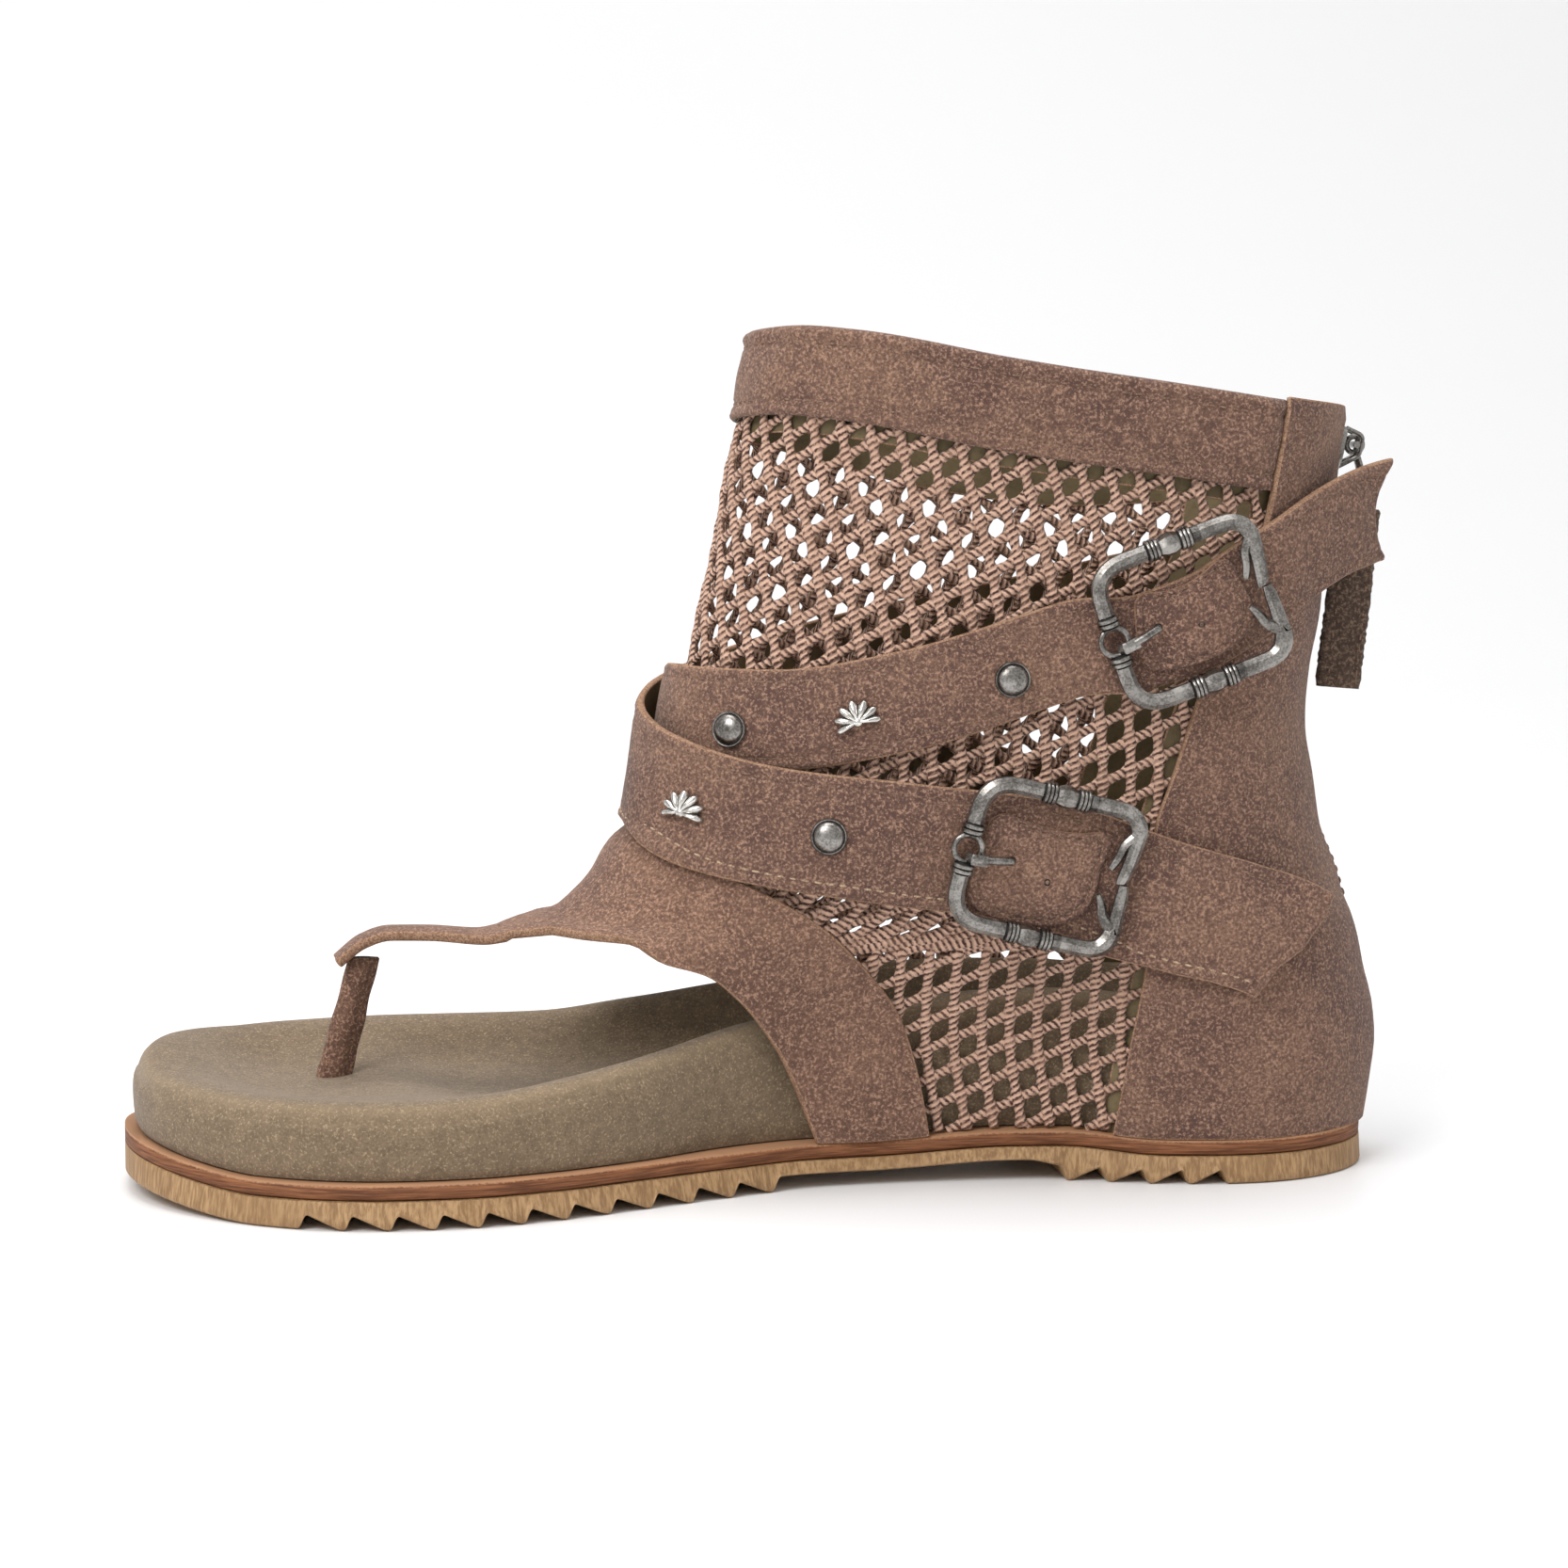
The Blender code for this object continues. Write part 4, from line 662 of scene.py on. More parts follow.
def footbed_finish():
    f = Finish("footbed suede", sheen_weight=0.15, sheen_roughness=0.5, specular_ior_level=0.2)
    fleck = f.noise(2000.0, 3.0, 0.7)
    nap = f.noise(420.0, 3.0, 0.6)
    cloud = f.noise(30.0, 2.0, 0.5, warp=0.3)
    ground = f.mix((cloud * 0.3 + nap * 0.7).smooth(0.34, 0.66), tone("6b5b48"), tone("7c6a55"))
    colour = f.mix(fleck.smooth(0.52, 0.70) * 0.85, ground, tone("a99579"))
    colour = f.mix((1 - fleck.smooth(0.30, 0.46)) * 0.6, colour, tone("52443a"))
    # Lighter along the rim's rounded crest, by the crest mark: painted highlight.
    colour = f.mix(f.mark("crest") * 0.30, colour, tone("9a866b"))
    relief = f.relief(fleck * 0.5 + nap * 0.5, 0.45, 0.0003)
    return f.set(Base_Color=colour, Roughness=0.80 + nap * 0.12, Normal=relief)


def rubber_finish():
    f = Finish("gum rubber", specular_ior_level=0.35)
    upright = f.noise(1.0, 4.0, 0.6, f.stretched((1500.0, 1500.0, 130.0)))
    cloud = f.noise(60.0, 3.0, 0.6)
    colour = f.mix(upright.smooth(0.35, 0.68), tone("866644"), tone("b08e66"))
    colour = f.mix(cloud.smooth(0.45, 0.7) * 0.4, colour, tone("8f6f4c"))
    return f.set(Base_Color=colour, Roughness=0.50 + cloud * 0.2, Normal=f.relief(upright, 0.35, 0.0003))


def welt_finish():
    f = Finish("welt leather", specular_ior_level=0.3)
    streak = f.noise(1.0, 4.0, 0.65, f.stretched((90.0, 90.0, 2600.0)))
    fibre = f.noise(1900.0, 2.0, 0.6)
    colour = f.mix(streak.smooth(0.35, 0.68), tone("5a341e"), tone("8f5d3c"))
    fuzzy = (f.mark("up") + fibre * 0.22).smooth(0.93, 1.05)
    colour = f.mix(fuzzy * 0.75, colour, tone("b58a68"))
    colour = f.mix((1 - f.mark("up").smooth(0.0, 0.14)) * 0.6, colour, tone("4a2815"))
    return f.set(Base_Color=colour, Roughness=0.58 + streak * 0.2, Normal=f.relief(streak, 0.4, 0.0003))


def cord_finish():
    f = Finish("net cord", specular_ior_level=0.2, sheen_weight=0.1)
    run, turn = f.mark("run"), f.mark("turn")
    wound = run * (2 * math.pi / CORD_TWIST) + turn * 2.0
    twist = wound.maths("SINE", wound) * 0.5 + 0.5
    fleck = f.noise(1300.0, 2.0, 0.6)
    light = (twist * 0.42 + fleck * 0.75).smooth(0.36, 0.66)
    colour = f.mix(light, tone("49302a"), tone("d0ab95"))
    colour = f.mix(f.noise(240.0, 2.0).smooth(0.42, 0.62) * 0.25, colour, tone("9c7863"))
    return f.set(Base_Color=colour, Roughness=0.85, Normal=f.relief(twist * 0.6 + fleck * 0.6, 1.0, 0.0006))


def thread_finish(name, colour, dark):
    f = Finish(name, specular_ior_level=0.3)
    ply = f.noise(3200.0, 2.0)
    shade = f.mix(ply.smooth(0.35, 0.65), tone(dark), tone(colour))
    return f.set(Base_Color=shade, Roughness=0.7, Normal=f.relief(ply, 0.5, 0.0002))


def metal_finish(name, bright, dull, deep, rough, wear=0.5):
    f = Finish(name)
    speck = f.noise(2200.0, 3.0, 0.7)
    cloud = f.noise(260.0, 3.0, 0.6)
    colour = f.mix((speck * 0.5 + cloud * 0.5).smooth(0.38, 0.62), tone(dull), tone(bright))
    # The recess mark darkens the metal: patina in grooves, and painted shade on sides turned to the strap, at
    # the prong's tip and at the studs' feet.
    tarnish_and_shade = f.mark("recess").smooth(0.1, 0.9)
    colour = f.mix(tarnish_and_shade, colour, tone(deep))
    return f.set(
        Base_Color=colour,
        Metallic=1 - tarnish_and_shade * 0.5,
        Roughness=rough + speck * 0.18 * wear + cloud * 0.10 * wear + tarnish_and_shade * 0.3,
        Normal=f.relief(speck * 0.4 + cloud * 0.6, 0.22 * wear, 0.00025),
    )


def tape_finish():
    f = Finish("zip tape", specular_ior_level=0.3)
    rib = f.make(
        "TexWave",
        {"wave_type": "BANDS", "bands_direction": "Z"},
        {"Vector": f.place(), "Scale": 330.0, "Distortion": 0.6, "Detail": 1.0, "Detail Scale": 300.0},
        output=1,
    )
    colour = f.mix(rib, tone("15110f"), tone("4d443c"))
    return f.set(Base_Color=colour, Roughness=0.75, Normal=f.relief(rib, 0.6, 0.0004))


def floor_finish():
    f = Finish("pale floor", roughness=0.42, specular_ior_level=0.25)
    soft = f.noise(2.0, 2.0)
    colour = f.mix(soft, (0.84, 0.84, 0.845, 1.0), (0.86, 0.86, 0.865, 1.0))
    return f.set(Base_Color=colour)


SUEDE = suede_finish("taupe suede", "a88672", "7a5e4e", "56403a")
VAMP_SUEDE = suede_finish("vamp suede", "b08c77", "816352", "5e463c")
ROUGH_SUEDE = suede_finish("rough dark suede", "86705f", "5d4c41", "41352e", fleck=1300.0, depth=1.6)
EDGE = edge_finish()
LINING = lining_finish()
FOOTBED_SUEDE = footbed_finish()
RUBBER = rubber_finish()
WELT = welt_finish()
CORD = cord_finish()
THREAD = thread_finish("taupe thread", "8d715f", "5d473a")
PALE_THREAD = thread_finish("pale thread", "c3ab90", "8d735c")
NICKEL = metal_finish("aged nickel", "a29e99", "5f5b57", "0f0d0c", 0.25)
SILVER = metal_finish("bright fan metal", "e4e1dc", "b0aca6", "26221f", 0.20, wear=0.35)
TEETH = metal_finish("zip teeth metal", "8d8882", "5d5853", "141210", 0.34)
TAPE = tape_finish()


# Mesh building
class Build:
    """Gathers points and faces of one piece, with a material number for each face and marks on the points."""

    def __init__(self):
        self.points, self.faces, self.kinds, self.marks, self.count = [], [], [], {}, 0

    def add(self, points, faces, kind=0, **marks):
        points = np.asarray(points, float).reshape(-1, 3)
        self.faces += [tuple(int(v) + self.count for v in face) for face in faces]
        self.kinds += list(kind) if np.ndim(kind) else [kind] * len(faces)
        for name, values in marks.items():
            self.marks.setdefault(name, []).append((self.count, np.broadcast_to(values, len(points))))
        self.points.append(points)
        self.count += len(points)

    def piece(self, name, materials, body="sandal", slot=None, replaces=(), sharp=40, closed=True):
        mesh = bpy.data.meshes.new(name)
        mesh.from_pydata(np.concatenate(self.points).tolist(), [], self.faces)
        for material in materials:
            mesh.materials.append(material)
        mesh.polygons.foreach_set("material_index", self.kinds)
        if closed:
            bm = bmesh.new()
            bm.from_mesh(mesh)
            bmesh.ops.recalc_face_normals(bm, faces=bm.faces)
            bm.to_mesh(mesh)
            bm.free()
        for mark, runs in self.marks.items():
            values = np.zeros(self.count, np.float32)
            for start, numbers in runs:
                values[start : start + len(numbers)] = numbers
            mesh.attributes.new(mark, "FLOAT", "POINT").data.foreach_set("value", values)
        if sharp:
            mesh.shade_smooth()
            mesh.set_sharp_from_angle(angle=math.radians(sharp))
        obj = bpy.data.objects.new(name, mesh)
        bpy.context.scene.collection.objects.link(obj)
        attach(obj, body)
        if replaces:
            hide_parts(*replaces)
        return obj


def grid_faces(rows, columns, wrap=False, start=0):
    last_column = columns if wrap else columns - 1
    i, j = np.meshgrid(np.arange(rows - 1), np.arange(last_column), indexing="ij")
    k = (j + 1) % columns
    faces = np.stack([i * columns + j, i * columns + k, (i + 1) * columns + k, (i + 1) * columns + j], -1)
    return (faces.reshape(-1, 4) + start).tolist()


def lofted(rings, caps=True):
    """Points and faces of a closed body through rings of as many points."""
    rings = np.asarray(rings, float)
    n, count = rings.shape[:2]
    faces = grid_faces(n, count, wrap=True)
    if caps:
        faces.append(list(range(count))[::-1])
        faces.append([(n - 1) * count + j for j in range(count)])
    return rings.reshape(-1, 3), faces


def directions(path, closed=False):
    if closed:
        return units(np.roll(path, -1, axis=0) - np.roll(path, 1, axis=0))
    return units(np.gradient(path, axis=0))


def tube(path, radius, sides=8, up=None, closed=False, turn=0.0):
    """Points and faces of a bar along a path.

    radius is one number, one each, or a width and a height each.
    """
    path = np.asarray(path, float)
    ahead = directions(path, closed)
    if up is None:
        ups = np.empty_like(path)
        guess = np.array((0.0, 0.0, 1.0)) if abs(ahead[0][2]) < 0.9 else np.array((1.0, 0.0, 0.0))
        for i, way in enumerate(ahead):
            guess = guess - way * np.dot(guess, way)
            guess = guess / np.linalg.norm(guess)
            ups[i] = guess
    else:
        ups = np.broadcast_to(np.asarray(up, float), path.shape)
        ups = units(ups - ahead * (ups * ahead).sum(1, keepdims=True))
    sideways = np.cross(ahead, ups)
    radius = np.asarray(radius, float)
    if radius.ndim < 2:
        radius = np.stack([np.broadcast_to(radius, len(path))] * 2, 1)
    angles = 2 * math.pi * np.arange(sides) / sides + turn
    rings = (
        path[:, None]
        + radius[:, :1, None] * np.cos(angles)[None, :, None] * sideways[:, None]
        + radius[:, 1:, None] * np.sin(angles)[None, :, None] * ups[:, None]
    )
    if closed:
        faces = grid_faces(len(path), sides, wrap=True)
        end = (len(path) - 1) * sides
        for j in range(sides):
            k = (j + 1) % sides
            faces.append([end + j, end + k, k, j])
        return rings.reshape(-1, 3), faces
    return lofted(rings)


def resampled(path, step):
    """The path with even steps, and the distance run at each point."""
    path = np.asarray(path, float)
    run = np.concatenate([[0], np.cumsum(np.linalg.norm(np.diff(path[:, :3], axis=0), axis=1))])
    count = max(int(round(run[-1] / step)), 1) + 1
    even = np.linspace(0, run[-1], count)
    return np.stack([np.interp(even, run, path[:, k]) for k in range(path.shape[1])], 1), even


def stitches(build, path, normals, kind=0, pitch=STITCH_PITCH, length=STITCH_LENGTH):
    """A row of separate stitches along a path that lies on the leather."""
    both = np.concatenate([np.asarray(path, float), np.asarray(normals, float)], 1)
    run = np.concatenate([[0], np.cumsum(np.linalg.norm(np.diff(both[:, :3], axis=0), axis=1))])
    count = int(run[-1] // pitch)
    spare = (run[-1] - count * pitch) / 2
    for k in range(count):
        middle = spare + (k + 0.5) * pitch
        at = middle + np.linspace(-0.5, 0.5, 5) * length
        line = np.stack([np.interp(at, run, both[:, c]) for c in range(6)], 1)
        spots, out = line[:, :3], units(line[:, 3:])
        rises = np.array([-1.3, 0.1, 0.35, 0.1, -1.3]) * STITCH_RADIUS
        spots = spots + out * rises[:, None]
        thick = np.array([0.55, 0.95, 1.05, 0.95, 0.55]) * STITCH_RADIUS
        build.add(*tube(spots, np.stack([thick, thick], 1), sides=6, up=out.mean(0)), kind=kind)


def wall(build, points, faces, normals, thickness, relief=0.0, kinds=(0, 1, 2)):
    """A wall from its inner surface: outer face, lining, and an edge with rounded corners."""
    points, normals = np.asarray(points, float), units(normals)
    faces = np.asarray(faces)
    a, b, d = points[faces[:, 0]], points[faces[:, 1]], points[faces[:, 3]]
    turned = (np.cross(b - a, d - a) * normals[faces[:, 0]]).sum(1)
    if turned.sum() < 0:
        faces = faces[:, ::-1]
    ordered, edges = [], set()
    for face in faces.tolist():
        for p, q in zip(face, face[1:] + face[:1]):
            ordered.append((p, q))
            edges.add((p, q))
    follow = {p: q for p, q in ordered if (q, p) not in edges}
    relief = np.broadcast_to(relief, len(points))
    outer = points + normals * (thickness + relief)[:, None]
    build.add(outer, faces.tolist(), kinds[0])
    start_outer = build.count - len(points)
    build.add(points, faces[:, ::-1].tolist(), kinds[1])
    start_inner = build.count - len(points)
    seen = set()
    for first in follow:
        if first in seen:
            continue
        loop, spot = [], first
        while spot not in seen:
            seen.add(spot)
            loop.append(spot)
            spot = follow[spot]
        loop = np.array(loop)
        line = points[loop]
        ahead = units(np.roll(line, -1, axis=0) - np.roll(line, 1, axis=0))
        outward = np.cross(ahead, normals[loop])
        rings = []
        for share, push in ((0.88, 0.8), (0.62, 1.0), (0.38, 1.0), (0.12, 0.8)):
            height = (thickness + relief[loop]) * share
            rings.append(line + normals[loop] * height[:, None] + outward * (push * EDGE_ROUNDING))
        n = len(loop)
        extra = np.concatenate(rings)
        base = build.count
        levels = [loop + start_outer - base]
        levels += [np.arange(n) + k * n for k in range(len(rings))]
        levels.append(loop + start_inner - base)
        made = []
        for upper, lower in zip(levels, levels[1:]):
            for k in range(n):
                m = (k + 1) % n
                made.append((upper[k], lower[k], lower[m], upper[m]))
        build.add(extra, made, kinds[2])


# Sole
def tread_height():
    """Corners of the tread's profile: x and the height of the underside, from toe to heel."""
    profile = [(TOE_X + s * (-0.198 - TOE_X), None) for s in np.linspace(0.0, 1.0, 9)]
    tip = -FRONT_FIRST
    profile.append((tip, 0.0))
    for _ in range(FRONT_TEETH):
        profile.append((tip + TREAD_STEEP, TREAD_DEPTH))
        tip += FRONT_PITCH
        profile += [(tip - TREAD_LAND, 0.0), (tip, 0.0)]
    profile.append((tip + TREAD_STEEP, TREAD_DEPTH))
    heel_tip = -HEEL_BLOCK - HEEL_TEETH * HEEL_PITCH
    profile.append((heel_tip - TREAD_STEEP, TREAD_DEPTH))
    for _ in range(HEEL_TEETH):
        profile += [(heel_tip, 0.0), (heel_tip + TREAD_LAND, 0.0)]
        heel_tip += HEEL_PITCH
        profile.append((heel_tip - TREAD_STEEP, TREAD_DEPTH))
    profile += [(heel_tip, 0.0), (HEEL_LENGTH, 0.0)]
    return [(x, float(sole_lift(x)) if z is None else z) for x, z in profile]


def underside(x):
    profile = np.array(tread_height())
    spread = (-0.00045, -0.0002, 0.0, 0.0002, 0.00045)
    soft = sum(np.interp(x + d, profile[:, 0], profile[:, 1]) for d in spread) / len(spread)
    waist = smoothstep(-0.090, -0.070, x) * (1 - smoothstep(-0.042, -0.034, x))
    return np.maximum(soft, 0.0) + waist * sole_lift(x)


def sole_stations(step):
    ends = 1 - np.cos(np.linspace(0.03, math.pi / 2, 22))
    toe = TOE_X + 0.012 * ends
    heel = HEEL_LENGTH - 0.010 * ends
    middle = np.arange(TOE_X + 0.012 + step, HEEL_LENGTH - 0.010, step)
    return np.concatenate([toe, middle, heel[::-1]])


def slab(name, x, low, high, sides, material, slot, node):
    """A body across the sole's plan. sides are shares of the way up its edge with the width added."""
    centre, half = plan(x)
    ring = []
    across = (-0.985, -0.6, 0.0, 0.6, 0.985)
    for s in across:
        ring.append((centre + s * (half + sides[0][1]), low, 0.0))
    for share, extra in sides:
        ring.append((centre + half + extra, low + (high - low) * share, share))
    for s in across[::-1]:
        ring.append((centre + s * (half + sides[-1][1]), high, 1.0))
    for share, extra in sides[::-1]:
        ring.append((centre - half - extra, low + (high - low) * share, share))
    rings = np.stack([np.stack([x, y, np.broadcast_to(z, x.shape)], 1) for y, z, _ in ring], 1)
    up = np.concatenate([[share for _, _, share in ring]] * len(x))
    build = Build()
    build.add(*lofted(rings), up=up)
    build.piece(name, [material], slot=slot, replaces=[node], sharp=50)


def make_sole():
    x = sole_stations(0.00036)
    sides = (
        (0.05, RUBBER_FLARE + 0.0001), (0.12, RUBBER_FLARE + 0.0003), (0.4, 0.0006),
        (0.75, 0.0003), (0.97, 0.0),
    )
    slab("ripple_outsole", x, underside(x), rubber_top(x), sides, RUBBER, "gum_rubber", "outsole")
    x = sole_stations(0.0012)
    edge = -WELT_SET_IN
    fuzz = 0.00012 * np.sin(x * 2100.0) * np.sin(x * 870.0)
    low, high = rubber_top(x) + 0.00005, welt_top(x)
    sides = (
        (0.04, edge - 0.0004), (0.16, edge), (0.38, edge + 0.00025 + fuzz), (0.62, edge + 0.00030 - fuzz),
        (0.84, edge + 0.0001), (0.97, edge - 0.0004),
    )
    slab("leather_welt", x, low, high, sides, WELT, "welt_leather", "welt")


def outline_loop(set_in, half_count=150):
    x = round_ends(TOE_X + 0.00002, HEEL_LENGTH - 0.00002, half_count)
    centre, half = plan(x)
    outer = np.stack([x, centre - half], 1)
    inner = np.stack([x, centre + half], 1)
    loop = np.concatenate([outer, inner[::-1]])
    step = np.roll(loop, -1, axis=0) - np.roll(loop, 1, axis=0)
    inward = units(np.stack([-step[:, 1], step[:, 0]], 1))
    return loop + inward * np.asarray(set_in).reshape(-1, 1)


def footbed_set_in(x):
    wrapped = smoothstep(-0.125, -0.098, x)
    return FOOTBED_SET_IN + (UPPER_SET_IN + FOOTBED_CLEARANCE - FOOTBED_SET_IN) * wrapped


def footbed_height(x, y, column=None):
    base = welt_top(x) + GAP
    share = along(x)
    if column:
        return base + RIM_HEIGHT * FOOTBED(column, share)
    centre, half = plan(x)
    side = smoothstep(-0.6, 0.6, (y - centre) / np.maximum(half, 0.004))
    return base + RIM_HEIGHT * (FOOTBED("outer", share) * (1 - side) + FOOTBED("inner", share) * side)


def make_footbed():
    base_in = footbed_set_in(outline_loop(0.0)[:, 0])
    rings, crest_highlight = [], []
    steps = np.concatenate([[0.0, 0.06, 0.2], np.arange(0.5, 5.01, 0.25)])
    for ring in steps:
        loop = outline_loop(base_in + float(FOOTBED_RINGS("set_in", ring)))
        x, y = loop.T
        low = welt_top(x) + GAP
        tuck = 0.0006 * bump(ring, 0.0, 0.12)
        loop = outline_loop(base_in + float(FOOTBED_RINGS("set_in", ring)) + tuck)
        up, drop = float(FOOTBED_RINGS("up", ring)), float(FOOTBED_RINGS("drop", ring))
        z = low + up * (footbed_height(x, y) - low) - drop
        rings.append(np.stack([loop[:, 0], loop[:, 1], z], 1))
        # Marks the rounded shoulder under the crest for the footbed finish's painted highlight.
        crest_highlight.append(float(bump(ring, 3.3, 0.8)))
    crest = rings[-1]
    spine_x = np.clip(crest[:, 0], -0.176, -0.006)
    spine = np.stack([spine_x, plan(spine_x)[0]], 1)
    for ring in np.concatenate([[-0.45, -0.22], np.arange(0.0, 3.01, 0.25)]):
        if ring < 0:
            inward, down = 0.16 * (ring + 0.6) / 0.6, 0.20 * ((ring + 0.6) / 0.6) ** 1.6
        else:
            inward, down = float(SURFACE_RINGS("inward", ring)), float(SURFACE_RINGS("down", ring))
        x = crest[:, 0] + (spine[:, 0] - crest[:, 0]) * inward
        y = crest[:, 1] + (spine[:, 1] - crest[:, 1]) * inward
        z = crest[:, 2] + (footbed_height(x, y, "floor") - crest[:, 2]) * down
        rings.append(np.stack([x, y, z], 1))
        crest_highlight.append(0.0)
    count = len(crest)
    faces = grid_faces(len(rings), count, wrap=True)
    half, last_ring = count // 2, (len(rings) - 1) * count
    for i in range(half - 1):
        for start in (0, last_ring):
            faces.append((start + i, start + i + 1, start + count - 2 - i, start + count - 1 - i))
    build = Build()
    build.add(np.concatenate(rings), faces, crest=np.repeat(crest_highlight, count))
    build.piece("moulded_footbed", [FOOTBED_SUEDE], slot="footbed_suede", replaces=["footbed"], sharp=60)


# Toe post and vamp
def thong_point(part, across):
    x = -SOLE_LENGTH * float(THONG("forward", part))
    z = SHAFT_HEIGHT * float(THONG("height", part))
    y = POST_INWARD * (1 - float(smoothstep(0.1, 1.0, part)))
    half = BALL_WIDTH * float(THONG("width", part)) / 2
    return np.array((x, y + across * half, z - 0.0004 * across * across))


def make_post():
    foot = float(footbed_height(-POST_FORWARD, POST_INWARD, "floor"))
    top = thong_point(0.10, 0.0)
    low = np.array((-POST_FORWARD, POST_INWARD, foot - 0.0006))
    high = np.array((top[0] + 0.0010, POST_INWARD, top[2] - 0.0018))
    rings, flange = [], []
    angles = 2 * math.pi * np.arange(40) / 40
    for share in np.concatenate([[0.0, 0.015], np.linspace(0.05, 0.95, 22), [0.985, 1.0]]):
        middle = low + (high - low) * share
        swell = 1.0 if 0.01 < share < 0.99 else 0.90
        swell += 0.03 * math.sin(share * 17.0) - 0.05 * float(bump(share, 0.75, 0.18))
        reach = 0.94 + 0.30 * np.clip(np.cos(angles), 0, 1) ** 9
        x = middle[0] + swell * reach * POST_LONG / 2 * np.cos(angles) * (1.0 - 0.08 * share)
        narrow = 1 - 0.35 * np.clip(np.cos(angles), 0, 1) ** 3
        y = middle[1] + swell * POST_THICK / 2 * np.sin(angles) * narrow
        rings.append(np.stack([x, y, np.full(40, middle[2])], 1))
        flange.append(middle + np.array((swell * 1.13 * POST_LONG / 2, 0, 0)))
    build = Build()
    build.add(*lofted(rings))
    line = np.array(flange[2:-2])
    for side in (-1, 1):
        path = line + np.array((-0.0011, side * 0.00078, 0.0))
        stitches(build, path, np.tile((0.15, side, 0.0), (len(path), 1)), kind=1, pitch=0.0021, length=0.0014)
    build.piece("rolled_toe_post", [VAMP_SUEDE, THREAD], slot="suede", replaces=["toe_post"])


def vamp_grid():
    """Inner surface of the T-strap: points, normals, quads and each point's share across."""
    seat = NET_THICKNESS + LAYER_GAP + GAP
    ridge_low, ridge_high = 0.2743, float(VAMP_REAR("height", 0.0))
    shares = np.concatenate([[0.0, 0.03, 0.07], np.linspace(0.12, 0.90, 20), [0.94, 0.97, 1.0]])
    downs = np.concatenate([np.linspace(0.1, 0.4, 14), np.linspace(0.425, 1.0, 26)])
    centre_half = BALL_WIDTH * float(THONG("width", 1.0)) / 2
    across_steps = np.linspace(-1, 1, 11)
    points, normals, across_marks, down_marks = [], [], [], []
    for side in (-1, 1):
        for down in downs[::-1] if side < 0 else downs:
            front = from_shares(VAMP_FRONT("forward", down), VAMP_FRONT("height", down), side)
            rear = from_shares(VAMP_REAR("forward", down), VAMP_REAR("height", down), side)
            around = front[0] + (rear[0] - front[0]) * shares
            z = front[1] + (rear[1] - front[1]) * shares
            if down == 1.0:
                z = welt_top(last.point(around, z, seat)[:, 0]) + GAP
            points.append(last.point(around, z, seat))
            normals.append(last.normal(around, z))
            across_marks.append(shares)
            down_marks.append(np.full(len(shares), down))
        if side < 0:
            for across in across_steps:
                z = SHAFT_HEIGHT * (ridge_low + (ridge_high - ridge_low) * shares)
                around = across * centre_half / last.length(across, z)
                points.append(last.point(around, z, seat))
                normals.append(last.normal(around, z))
                across_marks.append(shares)
                down_marks.append(np.full(len(shares), 0.0))
    columns = len(shares)
    faces = grid_faces(len(points), columns)
    first_middle = len(downs)
    points, normals = list(np.concatenate(points)), list(np.concatenate(normals))
    across_marks, down_marks = list(np.concatenate(across_marks)), list(np.concatenate(down_marks))
    edge = [(first_middle + k) * columns for k in range(11)]
    outline = [edge]
    for part in np.concatenate([np.linspace(0.97, 0.1, 34), [0.06, 0.02, 0.0]]):
        fresh = list(range(len(points), len(points) + 11))
        points += [thong_point(part, across) for across in across_steps]
        normals += [np.array((0.0, 0.16 * across, 1.0)) for across in across_steps]
        across_marks += [0.5] * 11
        down_marks += [-1.0] * 11
        faces += [(fresh[k], edge[k], edge[k + 1], fresh[k + 1]) for k in range(10)]
        edge = fresh
        outline.append(fresh)
    points, faces = np.array(points), np.array(faces)
    return points, np.array(normals), faces, (np.array(across_marks), np.array(down_marks)), outline


def mesh_normals(points, faces, hints):
    """Smooth normals of the points, turned the way of the hints."""
    a, b, c, d = (points[faces[:, k]] for k in range(4))
    flat = np.cross(c - a, d - b)
    turned = np.sign((flat * units(hints)[faces[:, 0]]).sum(1))
    flat = flat * turned[:, None]
    total = np.zeros_like(points)
    for k in range(4):
        np.add.at(total, faces[:, k], flat)
    return units(total)


def make_vamp():
    points, hints, faces, marks, outline = vamp_grid()
    for row in outline[1:]:
        hints[row] = (-0.2, 0.0, 1.0)
    normals = mesh_normals(points, faces, hints)
    x, _, z = points.T
    across, down = marks
    leg = np.where(down >= 0, 1, 0)
    crease = 0.00055 * bump(across, 0.5, 0.22) * leg
    crease -= 0.00045 * bump(x * 0.55 + z * 0.9, -0.012, 0.0035) * smoothstep(0.02, 0.10, down)
    crease += 0.00022 * np.sin(x * 330 + z * 250) * np.sin(z * 140 - 1.0) * leg
    crease -= 0.00030 * (bump(across, 0.05, 0.05) + bump(across, 0.95, 0.05)) * np.where(down >= 0, 1, 0)
    build = Build()
    wall(build, points, faces, normals, VAMP_THICKNESS, crease, kinds=(0, 1, 2))
    build.piece("suede_vamp", [VAMP_SUEDE, LINING, EDGE], slot="suede", replaces=["vamp"], sharp=50)


